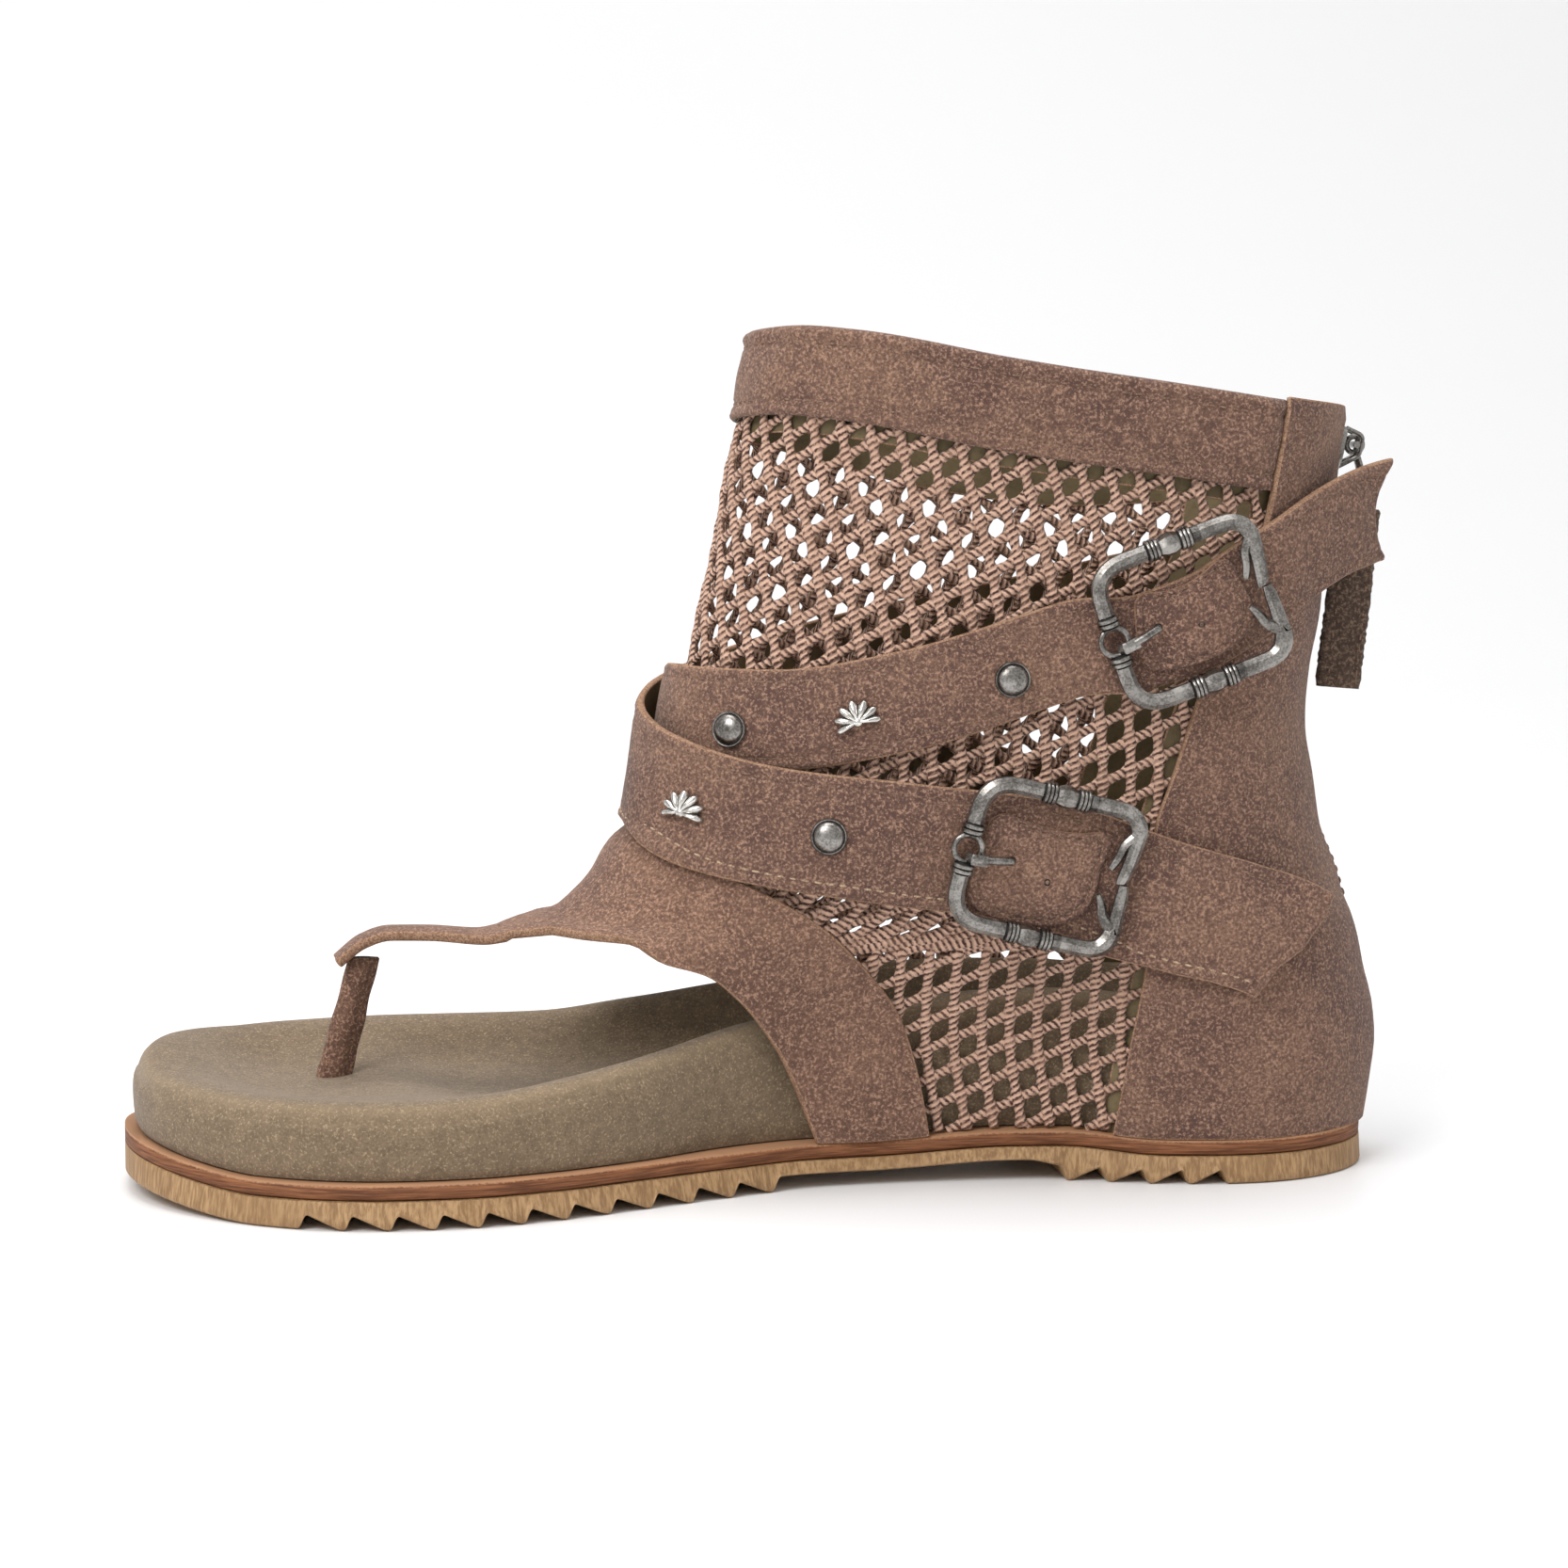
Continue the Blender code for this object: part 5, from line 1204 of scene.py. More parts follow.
# Net shaft, linings, counter and cuff
def shaft_foot(share, side):
    turn = 0.56
    if share < turn:
        down = share / turn
        forward = float(VAMP_REAR("forward", down))
        forward += VAMP_OVERLAP / SOLE_LENGTH * float(smoothstep(0, 0.4, down))
        height = float(VAMP_REAR("height", down)) - 1.2 * VAMP_OVERLAP / SHAFT_HEIGHT * (1 - down)
        if down == 0:
            return 0.0, height * SHAFT_HEIGHT
        around, z = from_shares(forward, height, side)
        return around, max(z, float(welt_top(-forward * SOLE_LENGTH)) + GAP)
    start, _ = shaft_foot(turn - 1e-9, side)
    around = start + (side - start) * (share - turn) / (1 - turn)
    x = last.point(around, UPPER_FOOT)[0]
    return around, float(welt_top(x)) + GAP


NET_FOOT = {
    side: np.array([shaft_foot(share, side) for share in np.linspace(0, 1, 81)]) for side in (-1, 1)
}


def net_ends(around, z):
    """Signed distance inside the net's field: from the vamp and welt to the cuff and the counter."""
    side = np.where(around < 0, -1, 1)
    low = np.where(
        side < 0,
        np.interp(-around, -NET_FOOT[-1][:, 0], NET_FOOT[-1][:, 1]),
        np.interp(around, NET_FOOT[1][:, 0], NET_FOOT[1][:, 1]),
    )
    top = cuff_top(around) - CUFF_DEPTH + 0.0035
    edge = np.where(side < 0, -counter_edge(z, -1), counter_edge(z, 1))
    length = last.length(around, z)
    back = (edge - np.abs(around)) * length + 0.0035
    return np.minimum(np.minimum(z - low, top - z), back)


# Lattice of the net: heights with the slope of the flatter cords and the drift of the steeper ones
NET_SLOPES = Table(
    "height rise drift",
    (0.0, 0.44, 0.16),
    (0.30, 0.46, 0.20),
    (0.50, 0.52, 0.30),
    (0.70, 0.60, 0.42),
    (1.0, 0.66, 0.46),
)
FLAT_SPACING = 0.00625
STEEP_SPACING = 0.00575


def make_net():
    build = Build()
    z = np.linspace(0.008, SHAFT_HEIGHT, 400)
    drifts = NET_SLOPES("drift", (z[1:] + z[:-1]) / 2 / SHAFT_HEIGHT) * np.diff(z)
    drift = np.concatenate([[0], np.cumsum(drifts)])
    drift = drift[-1] - drift
    start_heights = np.arange(-0.10, 0.26, FLAT_SPACING)
    half = 0.150
    w = np.linspace(-half, half, 700)

    def flat_cord(index):
        height = start_heights[index]
        rise = float(NET_SLOPES("rise", np.clip(height / SHAFT_HEIGHT, 0, 1)))
        return w, height + rise * (w - 0.055)

    def steep_cord(index):
        return index * STEEP_SPACING + drift, z

    def lay(distance, height, phase):
        side = np.where(distance > 0, -1, 1)
        keep = (height > 0.008) & (height < SHAFT_HEIGHT)
        around = -distance / last.length(side, np.clip(height, 0.008, SHAFT_HEIGHT))
        keep &= np.abs(around) < 0.93
        around = np.clip(around, -0.93, 0.93)
        inside = np.where(keep, net_ends(around, np.clip(height, 0.008, SHAFT_HEIGHT)), -1)
        runs = np.split(np.arange(len(distance)), np.flatnonzero(np.diff((inside > 0).astype(int))) + 1)
        for run in runs:
            if inside[run[0]] <= 0 or len(run) < 4:
                continue
            path = last.point(around[run], height[run], CORD_LIFT + phase * 0.00015)
            outs = last.normal(around[run], height[run])
            field = np.stack([distance[run], height[run]], 1)
            both, distances = resampled(np.concatenate([path, outs, field], 1), CORD_STEP)
            if len(both) < 3:
                continue
            yield both, distances

    # Each cord swells where it meets the cords of the other family
    flat_index = range(len(start_heights))
    steep_index = range(int(-0.16 / STEEP_SPACING), int(0.16 / STEEP_SPACING) + 1)
    for family in (0, 1):
        for index in flat_index if family == 0 else steep_index:
            distance, height = flat_cord(index) if family == 0 else steep_cord(index)
            for both, run in lay(distance, height, 1 if family else -1):
                spots, outs, field = both[:, :3], both[:, 3:6], both[:, 6:]
                if family == 0:
                    steep_at = field[:, 0] - np.interp(field[:, 1], z, drift)
                    off = np.abs(((steep_at / STEEP_SPACING) + 0.5) % 1 - 0.5) * STEEP_SPACING * 1.02
                else:
                    start = field[:, 1] - 0.5 * (field[:, 0] - 0.055)
                    rise = NET_SLOPES("rise", np.clip(start / SHAFT_HEIGHT, 0, 1))
                    starts = field[:, 1] - rise * (field[:, 0] - 0.055)
                    off = np.abs((((starts + 0.10) / FLAT_SPACING) + 0.5) % 1 - 0.5) * FLAT_SPACING * 0.85
                swell = KNOT_SWELL * np.exp(-((off / KNOT_REACH) ** 2))
                wobble = 0.00006 * np.sin(run * 2 * math.pi / 0.0021 + index * 1.7)
                radius = CORD_RADIUS + swell + wobble
                points, faces = tube(spots, np.stack([radius, 0.00062 + swell * 0.35], 1), sides=6, up=outs)
                sides = np.tile(np.arange(6) / 6 * 2 * math.pi, len(spots))
                build.add(points, faces, run=np.repeat(run + index * 0.0031, 6), turn=sides)
    net = build.piece("cord_net", [CORD], slot="cord_net", replaces=["net_shaft"], sharp=0, closed=False)
    net.data.shade_smooth()


def lay_lining(name, around, z):
    """A thin lining on the last, under the net."""
    points = last.point(around, z, np.full(z.shape, -0.0002))
    build = Build()
    wall(build, points.reshape(-1, 3), grid_faces(*z.shape), last.normal(around, z).reshape(-1, 3), 0.0004)
    build.piece(name, [LINING, LINING, EDGE], slot="suede")


def make_linings():
    """Back lining under the counter, which shows before its front edge, and the collar lining."""
    for side, name in ((-1, "outer"), (1, "inner")):
        z = np.linspace(0.0, 1.0, 60)
        low, high = 0.0096, float(cuff_top(side * 0.95)) - 0.003
        heights = low + (high - low) * z
        edge = counter_edge(heights, side)
        length = last.length(side, heights)
        strip = 0.0026 + 0.0008 * np.sin(heights * 90)
        front = edge - side * strip / length
        share = np.linspace(0, 1, 24)[None]
        around = front[:, None] + (side * 0.9995 - front[:, None]) * share
        zz = np.broadcast_to(heights[:, None], around.shape)
        lay_lining(f"back_lining_{name}", around, zz)
    around = np.linspace(-0.90, 0.90, 220)
    top = cuff_top(around)
    share = np.linspace(0, 1, 14)[:, None]
    low, high = top - CUFF_DEPTH - 0.0030, top - 0.0020
    z = low[None] + (high - low)[None] * share
    lay_lining("collar_lining", np.broadcast_to(around, z.shape), z)


def make_counter():
    seat = NET_THICKNESS + LAYER_GAP
    slot_half = ZIP_WIDTH / 2 + GAP
    beside = slot_half + np.array([-0.0003, 0.0, 0.0008, 0.0018])
    near = np.concatenate([[0.0, 0.0011, 0.0022], beside])
    spread = np.concatenate([np.linspace(0, 0.90, 24)[1:], [0.93, 0.955, 0.975, 0.99, 1.0]])
    low_parts, high_parts = np.linspace(0.0, 0.30, 18)[:-1], np.linspace(0.30, 0.97, 52)
    parts = np.concatenate([low_parts, high_parts, [0.985, 0.995, 1.0]])
    steps = len(near) + len(spread)
    order = [(-1, k) for k in range(steps - 1, 0, -1)] + [(1, k) for k in range(steps)]
    rows = []
    for part in parts:
        z_guess = np.full(len(order), UPPER_FOOT + (0.16 - UPPER_FOOT) * part)
        for _ in range(3):
            arounds = []
            for n, (side, k) in enumerate(order):
                z = z_guess[n]
                length = float(last.length(side, z))
                if k < len(near):
                    around = side * (1 - near[k] / length)
                else:
                    start = 1 - near[-1] / length
                    edge = abs(float(counter_edge(z, side)))
                    around = side * (start + (edge - start) * spread[k - len(near)])
                arounds.append(around)
            arounds = np.array(arounds)
            low = welt_top(last.point(arounds, z_guess, seat)[:, 0]) + GAP
            high = cuff_top(np.clip(arounds, -NEAR_BACK, NEAR_BACK)) + 0.0004
            z_guess = low + (high - low) * part
        rows.append((arounds, z_guess))
    around = np.array([r[0] for r in rows])
    z = np.array([r[1] for r in rows])
    k_near = np.array([k if k < len(near) else -1 for _, k in order])
    zip_row = int(np.argmin(np.abs(z[:, len(order) // 2] - ZIP_BOTTOM)))
    depth = np.array([near[k] if k >= 0 else slot_half for k in k_near])
    arc = (1 - np.sqrt(np.clip(1 - (np.minimum(depth, slot_half) / slot_half) ** 2, 0, 1))) * 0.0018
    z[zip_row] = ZIP_BOTTOM + arc
    lengths = last.length(np.sign(around), z)
    edge_gap = np.empty_like(z)
    for n, (side, _) in enumerate(order):
        edge_gap[:, n] = (np.abs(around[:, n]) - np.abs(counter_edge(z[:, n], side))) * lengths[:, n]
    groove = -0.00032 * bump(edge_gap, EDGE_LINE, EDGE_LINE_WIDTH)
    zip_gap = (1 - np.abs(around)) * lengths
    groove += 0.0005 * bump(zip_gap, 0.006, 0.0025) * smoothstep(0.05, 0.06, z)
    soft = 0.00035 * np.sin(z * 210 + around * 9) * smoothstep(0.02, 0.05, z)
    soft = soft * smoothstep(0.0, 0.02, edge_gap)
    soft -= 0.0006 * bump(z + 0.35 * edge_gap, 0.073, 0.006) * smoothstep(0.004, 0.02, edge_gap)
    top_gap = z[-1][None] - z
    rolled = -0.0007 * bump(top_gap, 0.0, 0.0012)
    points = last.point(around, z, np.full(z.shape, seat))
    faces = []
    columns = len(order)
    slot_columns = [n for n in range(columns - 1) if 0 <= k_near[n] <= 4 and 0 <= k_near[n + 1] <= 4]
    for i in range(len(z) - 1):
        for j in range(columns - 1):
            if i >= zip_row and j in slot_columns:
                continue
            first, above = i * columns + j, (i + 1) * columns + j
            faces.append((first, first + 1, above + 1, above))
    used = sorted({v for face in faces for v in face})
    renumber = {v: n for n, v in enumerate(used)}
    faces = [[renumber[v] for v in face] for face in faces]
    normals = last.normal(around, z).reshape(-1, 3)
    relief = (groove + soft + rolled).ravel()
    build = Build()
    wall(build, points.reshape(-1, 3)[used], faces, normals[used], COUNTER_THICKNESS, relief[used])
    threads = Build()
    for side in (-1, 1):
        heights = np.linspace(0.012, 0.1585, 260)
        line = counter_edge(heights, side) + side * EDGE_LINE / last.length(side, heights)
        keep = heights < cuff_top(line) - 0.0012
        line, heights = line[keep], heights[keep]
        spots = last.point(line, heights, np.full(len(line), seat + COUNTER_THICKNESS - 0.00032))
        stitches(threads, spots, last.normal(line, heights))
        heights = np.linspace(ZIP_BOTTOM + 0.001, 0.153, 200)
        line = side * (1 - (slot_half + 0.0016) / last.length(side, heights))
        spots = last.point(line, heights, np.full(len(line), seat + COUNTER_THICKNESS - 0.00008))
        stitches(threads, spots, last.normal(line, heights))
    build.piece("suede_counter", [SUEDE, LINING, EDGE], slot="suede", replaces=["heel_counter"], sharp=50)
    threads.piece("counter_stitches", [THREAD], slot="suede")


def make_cuff():
    """Folded band with puffy rows between its two stitch lines."""
    seat = NET_THICKNESS + LAYER_GAP
    outer = seat + CUFF_THICKNESS
    steps = 230
    shares = np.concatenate([[-1, -0.997, -0.992], np.linspace(-0.98, 0.98, steps), [0.992, 0.997, 1]])
    # Offset over the last, and height as a share of the depth
    profile = [(seat, 0.02), (seat + 0.0002, 0.0), (outer - 0.0006, -0.012)]
    profile += [(outer - 0.0001, 0.006), (outer + 0.0001, 0.03)]
    profile += [(outer, s) for s in np.linspace(0.06, 0.93, 22)]
    profile += [(outer - 0.0002, 0.965), (outer - 0.0007, 0.99)]
    profile += [(outer - 0.0015, 1.002), (outer - 0.0024, 0.998)]
    profile += [(0.0003, 0.985), (-0.0003, 0.955), (-0.0004, 0.90)]
    profile += [(-0.0004, 0.84), (0.0002, 0.835), (0.0006, 0.86)]
    profile += [(0.0008, 0.93), (seat - 0.0003, 0.945), (seat - 0.00005, 0.90), (seat, 0.5)]
    profile = np.array(profile)
    low_line, high_line = 0.165, 0.815
    rings = []
    for share in shares:
        side = -1 if share < 0 else 1
        z = 0.86 * SHAFT_HEIGHT
        rows = []
        for offset, height in profile:
            for _ in range(2):
                around = abs(share) * (counter_edge(z, side) - side * 2 * GAP / last.length(side, z))
                top = float(cuff_top(around))
                z = top - CUFF_DEPTH * (1 - height)
            run = float(around) * float(last.length(side, z))
            lift = 0.0
            if offset >= outer - 0.0003:
                lift -= 0.00042 * float(bump(height, low_line, 0.035) + bump(height, high_line, 0.035))
                lift += 0.00030 * float(bump(height, 0.49, 0.22)) + 0.00022 * float(bump(height, 0.90, 0.05))
                puff = math.sin(run * 620 + 2.1 * math.sin(run * 150))
                crease = math.sin(run * 410 + height * 3 + 1.4 * math.sin(run * 95))
                lift += 0.00022 * puff * float(bump(height, 0.9, 0.12))
                lift += 0.00020 * crease * float(bump(height, 0.5, 0.4))
                lift -= 0.0006 * float(smoothstep(0.985, 1.0, abs(share)))
            rows.append(last.point(around, z, offset + lift))
        rings.append(rows)
    rings = np.array(rings)
    build = Build()
    points, faces = lofted(rings)
    count = len(profile)
    kinds = [0 if 2 <= f % count <= 33 else 1 for f in range(len(faces) - 2)] + [0, 0]
    build.add(points, faces, kinds)
    build.piece("folded_cuff", [SUEDE, LINING], slot="suede", replaces=["cuff"], sharp=60)
    threads = Build()
    for line in (low_line, high_line):
        share = np.linspace(-0.995, 0.995, 500)
        side = np.where(share < 0, -1, 1)
        z = np.full(500, 0.86 * SHAFT_HEIGHT)
        for _ in range(3):
            edge = np.where(side < 0, -counter_edge(z, -1), counter_edge(z, 1))
            around = share * edge
            z = cuff_top(around) - CUFF_DEPTH * (1 - line)
        stitches(threads, last.point(around, z, np.full(500, outer - 0.00034)), last.normal(around, z))
    threads.piece("cuff_stitches", [THREAD], slot="suede")


# Straps
class Strap:
    """A band laid on the form along its middle line, with a free end beyond the buckle."""

    INWARD_BEND = math.radians(9)

    def __init__(self, name, gap):
        self.name, self.gap = name, gap
        self.path, self.width = STRAP_PATHS[name], STRAP_WIDTHS[name]
        self.end, self.droop = STRAP_ENDS[name], STRAP_DROOPS[name]

    def slope(self, part):
        step = 0.01
        a, b = np.maximum(part - step, 0.0), np.minimum(part + step, 1.0)
        z = self.path("height", part) * SHAFT_HEIGHT
        around = self.path("around", part)
        run = (self.path("around", b) - self.path("around", a)) * last.length(around, z)
        rise = (self.path("height", b) - self.path("height", a)) * SHAFT_HEIGHT
        return np.arctan2(rise, run)

    def point(self, part, across, lift=0.0, sag=True):
        """Point on the inner face, or lift above it, and the form's normal there."""
        part, across = np.broadcast_arrays(np.asarray(part, float), np.asarray(across, float))
        tilt = self.slope(part)
        z = self.path("height", part) * SHAFT_HEIGHT
        around = self.path("around", part)
        shift = across * self.width - (self.path("sag", part) if sag else 0.0)
        length = last.length(around, z)
        around = around - shift * np.sin(tilt) / length
        lean = last.point(around, z + 0.004) - last.point(around, z - 0.004)
        z = z + shift * np.cos(tilt) * 0.008 / np.linalg.norm(lean, axis=-1)
        rise = self.path("lift", part) + across * self.path("cant", part) + self.gap + lift
        return last.point(around, z, rise), last.normal(around, z)

    def frame(self, part, across=0.0):
        low, high = self.point(part, across - 0.3, sag=False)[0], self.point(part, across + 0.3, sag=False)[0]
        ahead = self.point(max(part - 0.03, 0), across, sag=False)[0]
        behind = self.point(part + 0.03, across, sag=False)[0]
        forward = units(ahead - behind)
        out = units(np.cross(forward, high - low))
        return self.point(part, across, sag=False)[0], forward, np.cross(out, forward), out

    def lines(self, across, count=150, steps=26):
        """Points and normals of the lines along the strap, one row for each place across."""
        across = np.asarray(across, float)
        parts = np.linspace(1.0, 0.0, count)
        laid, normals = self.point(parts[None], across[:, None])
        end_low = self.point(0.0, 0.0)[0]
        behind = self.point(0.035, 0.0)[0]
        heading = units(end_low - behind)
        heading[0] = abs(heading[0])
        place = laid[:, -1].copy()
        reach = self.end("reach", across)
        extra, extra_normals = [], []
        first_normal = normals[:, -1]
        for _ in range(steps):
            level = math.hypot(heading[0], heading[1])
            climb = math.atan2(heading[2], level) - self.droop / steps
            way = math.atan2(heading[1], heading[0]) + self.INWARD_BEND / steps
            level = math.cos(climb)
            heading = np.array((level * math.cos(way), level * math.sin(way), math.sin(climb)))
            place = place + heading[None] * reach[:, None] / steps
            extra.append(place.copy())
            straight = units(first_normal - heading * (first_normal @ heading)[:, None])
            extra_normals.append(straight)
        laid = np.concatenate([laid, np.stack(extra, 1)], 1)
        normals = np.concatenate([normals, np.stack(extra_normals, 1)], 1)
        return laid, normals



def make_strap(name):
    strap = Strap(name, GAP)
    width = strap.width
    margin = EDGE_LINE / width
    across = np.array([-0.5, -0.487, -0.47, -0.5 + margin - 0.02, -0.5 + margin, -0.5 + margin + 0.02])
    across = np.concatenate([across, np.linspace(-0.34, 0.34, 9), -across[::-1]])
    points, hints = strap.lines(across)
    rows, columns = points.shape[:2]
    faces = np.array(grid_faces(rows, columns))
    flat_points = points.reshape(-1, 3)
    normals = mesh_normals(flat_points, faces, hints.reshape(-1, 3)).reshape(points.shape)
    a = np.abs(across)[:, None]
    steps = np.linalg.norm(np.diff(points, axis=1), axis=2)
    run = np.concatenate([np.zeros((rows, 1)), np.cumsum(steps, axis=1)], 1)
    relief = -0.00028 * bump(a, 0.5 - margin, 0.022) - 0.00030 * smoothstep(0.478, 0.5, a)
    relief = relief + 0.00032 * np.cos(a * math.pi) * (0.6 + 0.4 * np.sin(run * 95 + across[:, None] * 3))
    relief = relief + 0.00013 * np.sin(run * 420 + 6 * across[:, None]) * np.sin(run * 77)
    end_gap = run[:, -1:] - run
    relief = relief - 0.00028 * bump(end_gap, EDGE_LINE, EDGE_LINE_WIDTH)
    relief = relief - 0.0003 * (1 - smoothstep(0.0, 0.0006, end_gap))
    build = Build()
    wall(build, flat_points, faces, normals.reshape(-1, 3), STRAP_THICKNESS, relief.ravel())
    materials = [SUEDE, LINING, EDGE]
    build.piece(f"strap_band_{name}", materials, slot="suede", replaces=[f"strap_{name}"], sharp=50)
    threads = Build()
    top = points + normals * (STRAP_THICKNESS - 0.00026)
    low_row, high_row = 4, rows - 5
    stop = [int(np.argmin(np.abs(end_gap[r] - EDGE_LINE))) for r in (low_row, high_row)]
    low = top[low_row, : stop[0] + 1]
    high = top[high_row, : stop[1] + 1]
    tip = [top[r, int(np.argmin(np.abs(end_gap[r] - EDGE_LINE)))] for r in range(low_row, high_row + 1)]
    tip_normals = [normals[r, -1] for r in range(low_row, high_row + 1)]
    stitches(threads, low, normals[low_row, : stop[0] + 1], kind=1 if name == "lower" else 0)
    stitches(threads, high, normals[high_row, : stop[1] + 1])
    stitches(threads, tip, tip_normals)
    threads.piece(f"strap_stitches_{name}", [THREAD, PALE_THREAD], slot="suede")
    return strap


# Hardware
def placed(build, name, materials, spot, forward, up, out, **keys):
    """The gathered piece, whose local X, Y and Z run forward, up and out, put in its place."""
    turn = np.stack([forward, up, out])
    build.points = [p @ turn + spot for p in build.points]
    return build.piece(name, materials, **keys)


def lathe(profile, sides=32, turn=0.0):
    """Rings round local Z from (radius, height) pairs."""
    angles = 2 * math.pi * np.arange(sides) / sides + turn
    return np.array([[(r * math.cos(a), r * math.sin(a), z) for a in angles] for r, z in profile])


def collar(build, middle, axis, profile, sides=20):
    """A turned part round a bar: (place along, radius, recess) rows."""
    middle, axis = np.asarray(middle, float), units(axis)
    path = np.array([middle + axis * at for at, _, _ in profile])
    radius = np.array([r for _, r, _ in profile])
    recess = np.repeat([d for _, _, d in profile], sides)
    points, faces = tube(path, np.stack([radius, radius], 1), sides=sides, up=(0, 0, 1))
    build.add(points, faces, recess=recess)


def ringed(first, count, pitch, ridge, valley):
    """Ridges and valleys of a wound collar."""
    # Valleys and ends get a high recess mark: patina with painted shade in the grooves.
    rows = [(first - 0.0003, valley * 0.9, 1.0)]
    for k in range(count):
        at = first + k * pitch
        rows += [(at, valley, 0.9), (at + 0.18 * pitch, ridge * 0.97, 0.1), (at + 0.5 * pitch, ridge, 0.0)]
        rows += [(at + 0.82 * pitch, ridge * 0.97, 0.1), (at + pitch, valley, 0.9)]
    rows.append((first + count * pitch + 0.0003, valley * 0.9, 1.0))
    return rows


def rounded_run(corners, radius, steps=8):
    """A path through corners, each rounded by its radius."""
    corners = [np.array(c, float) for c in corners]
    path = [corners[0]]
    for before, corner, after in zip(corners, corners[1:], corners[2:]):
        a = corner + units(before - corner) * radius
        b = corner + units(after - corner) * radius
        for t in np.linspace(0, 1, steps):
            path.append((1 - t) ** 2 * a + 2 * t * (1 - t) * corner + t * t * b)
    path.append(corners[-1])
    return np.array(path)


def make_buckle(name, spot, forward, up, out):
    long, tall, corner = BUCKLE_LONG / 2, BUCKLE_TALL / 2, BUCKLE_CORNER
    eye = RING_RADIUS + RING_WIRE
    octagon = math.pi / 8
    bar = BAR_RADIUS * 1.12
    build = Build()

    def faceted(path, radius, sides=8):
        path, _ = resampled(path, 0.0007)
        radius = np.atleast_1d(radius)
        radius = np.interp(np.linspace(0, 1, len(path)), np.linspace(0, 1, len(radius)), radius)
        both = np.stack([radius, radius * 0.92], 1)
        points, faces = tube(path, both, sides=sides, up=(0, 0, 1), turn=octagon)
        # Facets turned sideways and towards the strap are marked darker: painted shade on the bars' hidden
        # sides.
        facing = np.sin(2 * math.pi * np.arange(sides) / sides + octagon)
        build.add(points, faces, recess=np.tile(0.62 * smoothstep(-0.75, 0.45, -facing), len(path)))

    for side in (1, -1):
        corners = [(-long, side * (eye + 0.0004), 0), (-long, side * tall, 0), (0.4 * long, side * tall, 0)]
        faceted(rounded_run(corners, corner * 0.8), bar)
        # Two turned collars at the eye and the group at the middle of the bar
        rings = ringed(0.0, 2, 0.0010, bar * 1.32, bar * 1.02)
        collar(build, (-long, side * (eye - 0.0003), 0), (0, side, 0), rings)
        for way in (-1, 1):
            rings = ringed(0.0, 3, 0.0008, bar * 1.34, bar * 1.05)
            collar(build, (way * 0.0023, side * tall, 0), (way, 0, 0), rings)
        bead = [(-0.0023, bar * 1.0, 0.9), (-0.0018, bar * 1.12, 0.2), (-0.0007, bar * 1.36, 0.0)]
        bead += [(0.0007, bar * 1.36, 0.0), (0.0018, bar * 1.12, 0.2), (0.0023, bar * 1.0, 0.9)]
        collar(build, (0, side * tall, 0), (1, 0, 0), bead, sides=8)
    # Open side: the top bar turns down and splits, the bottom bar turns up and splits
    for corners, round_radius, thickness in (
        (
            [(0.3 * long, tall), (long, tall), (long + 0.0001, 0.0052), (long - 0.0007, 0.0014)],
            corner * 0.62,
            (1, 1, 1, 1, 1, 0.96, 0.88, 0.82, 0.78, 0.55),
        ),
        (
            [
                (long - 0.0006, 0.0098), (long - 0.0023, 0.0078),
                (long - 0.0027, 0.0050), (long - 0.0038, 0.0024),
            ],
            0.0010,
            (0.70, 0.60, 0.54, 0.50, 0.48, 0.36),
        ),
        (
            [(0.3 * long, -tall), (long - 0.0002, -tall), (long + 0.0002, -0.0050), (long - 0.0002, -0.0003)],
            corner * 0.60,
            (1, 1, 1, 1.03, 1.12, 1.05, 0.92, 0.82, 0.76, 0.50),
        ),
        (
            [
                (long - 0.0002, -0.0094), (long - 0.0028, -0.0074),
                (long - 0.0036, -0.0050), (long - 0.0048, -0.0031),
            ],
            0.0011,
            (0.95, 0.80, 0.66, 0.56, 0.46, 0.28),
        ),
    ):
        faceted(rounded_run([(x, y, 0) for x, y in corners], round_radius), bar * np.array(thickness))
    ring_angles = np.linspace(0, 2 * math.pi, 40, endpoint=False)
    ring = RING_RADIUS * np.stack([np.cos(ring_angles), np.sin(ring_angles), 0 * ring_angles], 1)
    ring[:, 0] -= long
    points, faces = tube(ring, RING_WIRE, sides=10, up=(0, 0, 1), closed=True)
    build.add(points, faces, recess=0.0)
    placed(build, f"cast_buckle_{name}", [NICKEL], spot, forward, up, out, slot="aged_nickel",
           replaces=[f"buckle_{name}"], sharp=24, closed=False)

    pin = Build()
    rise = RING_WIRE + GAP + 0.0008
    plate = [(-long + 0.0004, -0.0017, 0.0002), (-long + 0.0012, -0.0017, rise)]
    plate, _ = resampled(plate + [(-long + 0.0042, -0.0014, rise)], 0.0004)
    both = np.tile((0.0012, 0.0006), (len(plate), 1))
    points, faces = tube(plate, both, sides=8, up=(0, 0, 1), turn=octagon)
    pin.add(points, faces, recess=0.0)
    pin_path = [(-long + 0.0034, -0.0014, rise), (-long + 0.0064, -0.0008, rise)]
    pin_path += [(-long + 0.0088, -0.0004, rise - 0.0003), (-long + 0.0092, -0.0003, rise - 0.0014)]
    path, _ = resampled(pin_path, 0.0004)
    # The prong darkens towards its tip, where it dips into the punched hole: painted shade.
    dark = smoothstep(0.80, 0.95, np.linspace(0, 1, len(path)))
    points, faces = tube(path, 0.00082, sides=14, up=(0, 0, 1))
    pin.add(points, faces, recess=np.repeat(dark, 14))
    placed(pin, f"buckle_prong_{name}", [NICKEL], spot, forward, up, out, slot="aged_nickel",
           replaces=[f"prong_{name}"], sharp=30, closed=False)


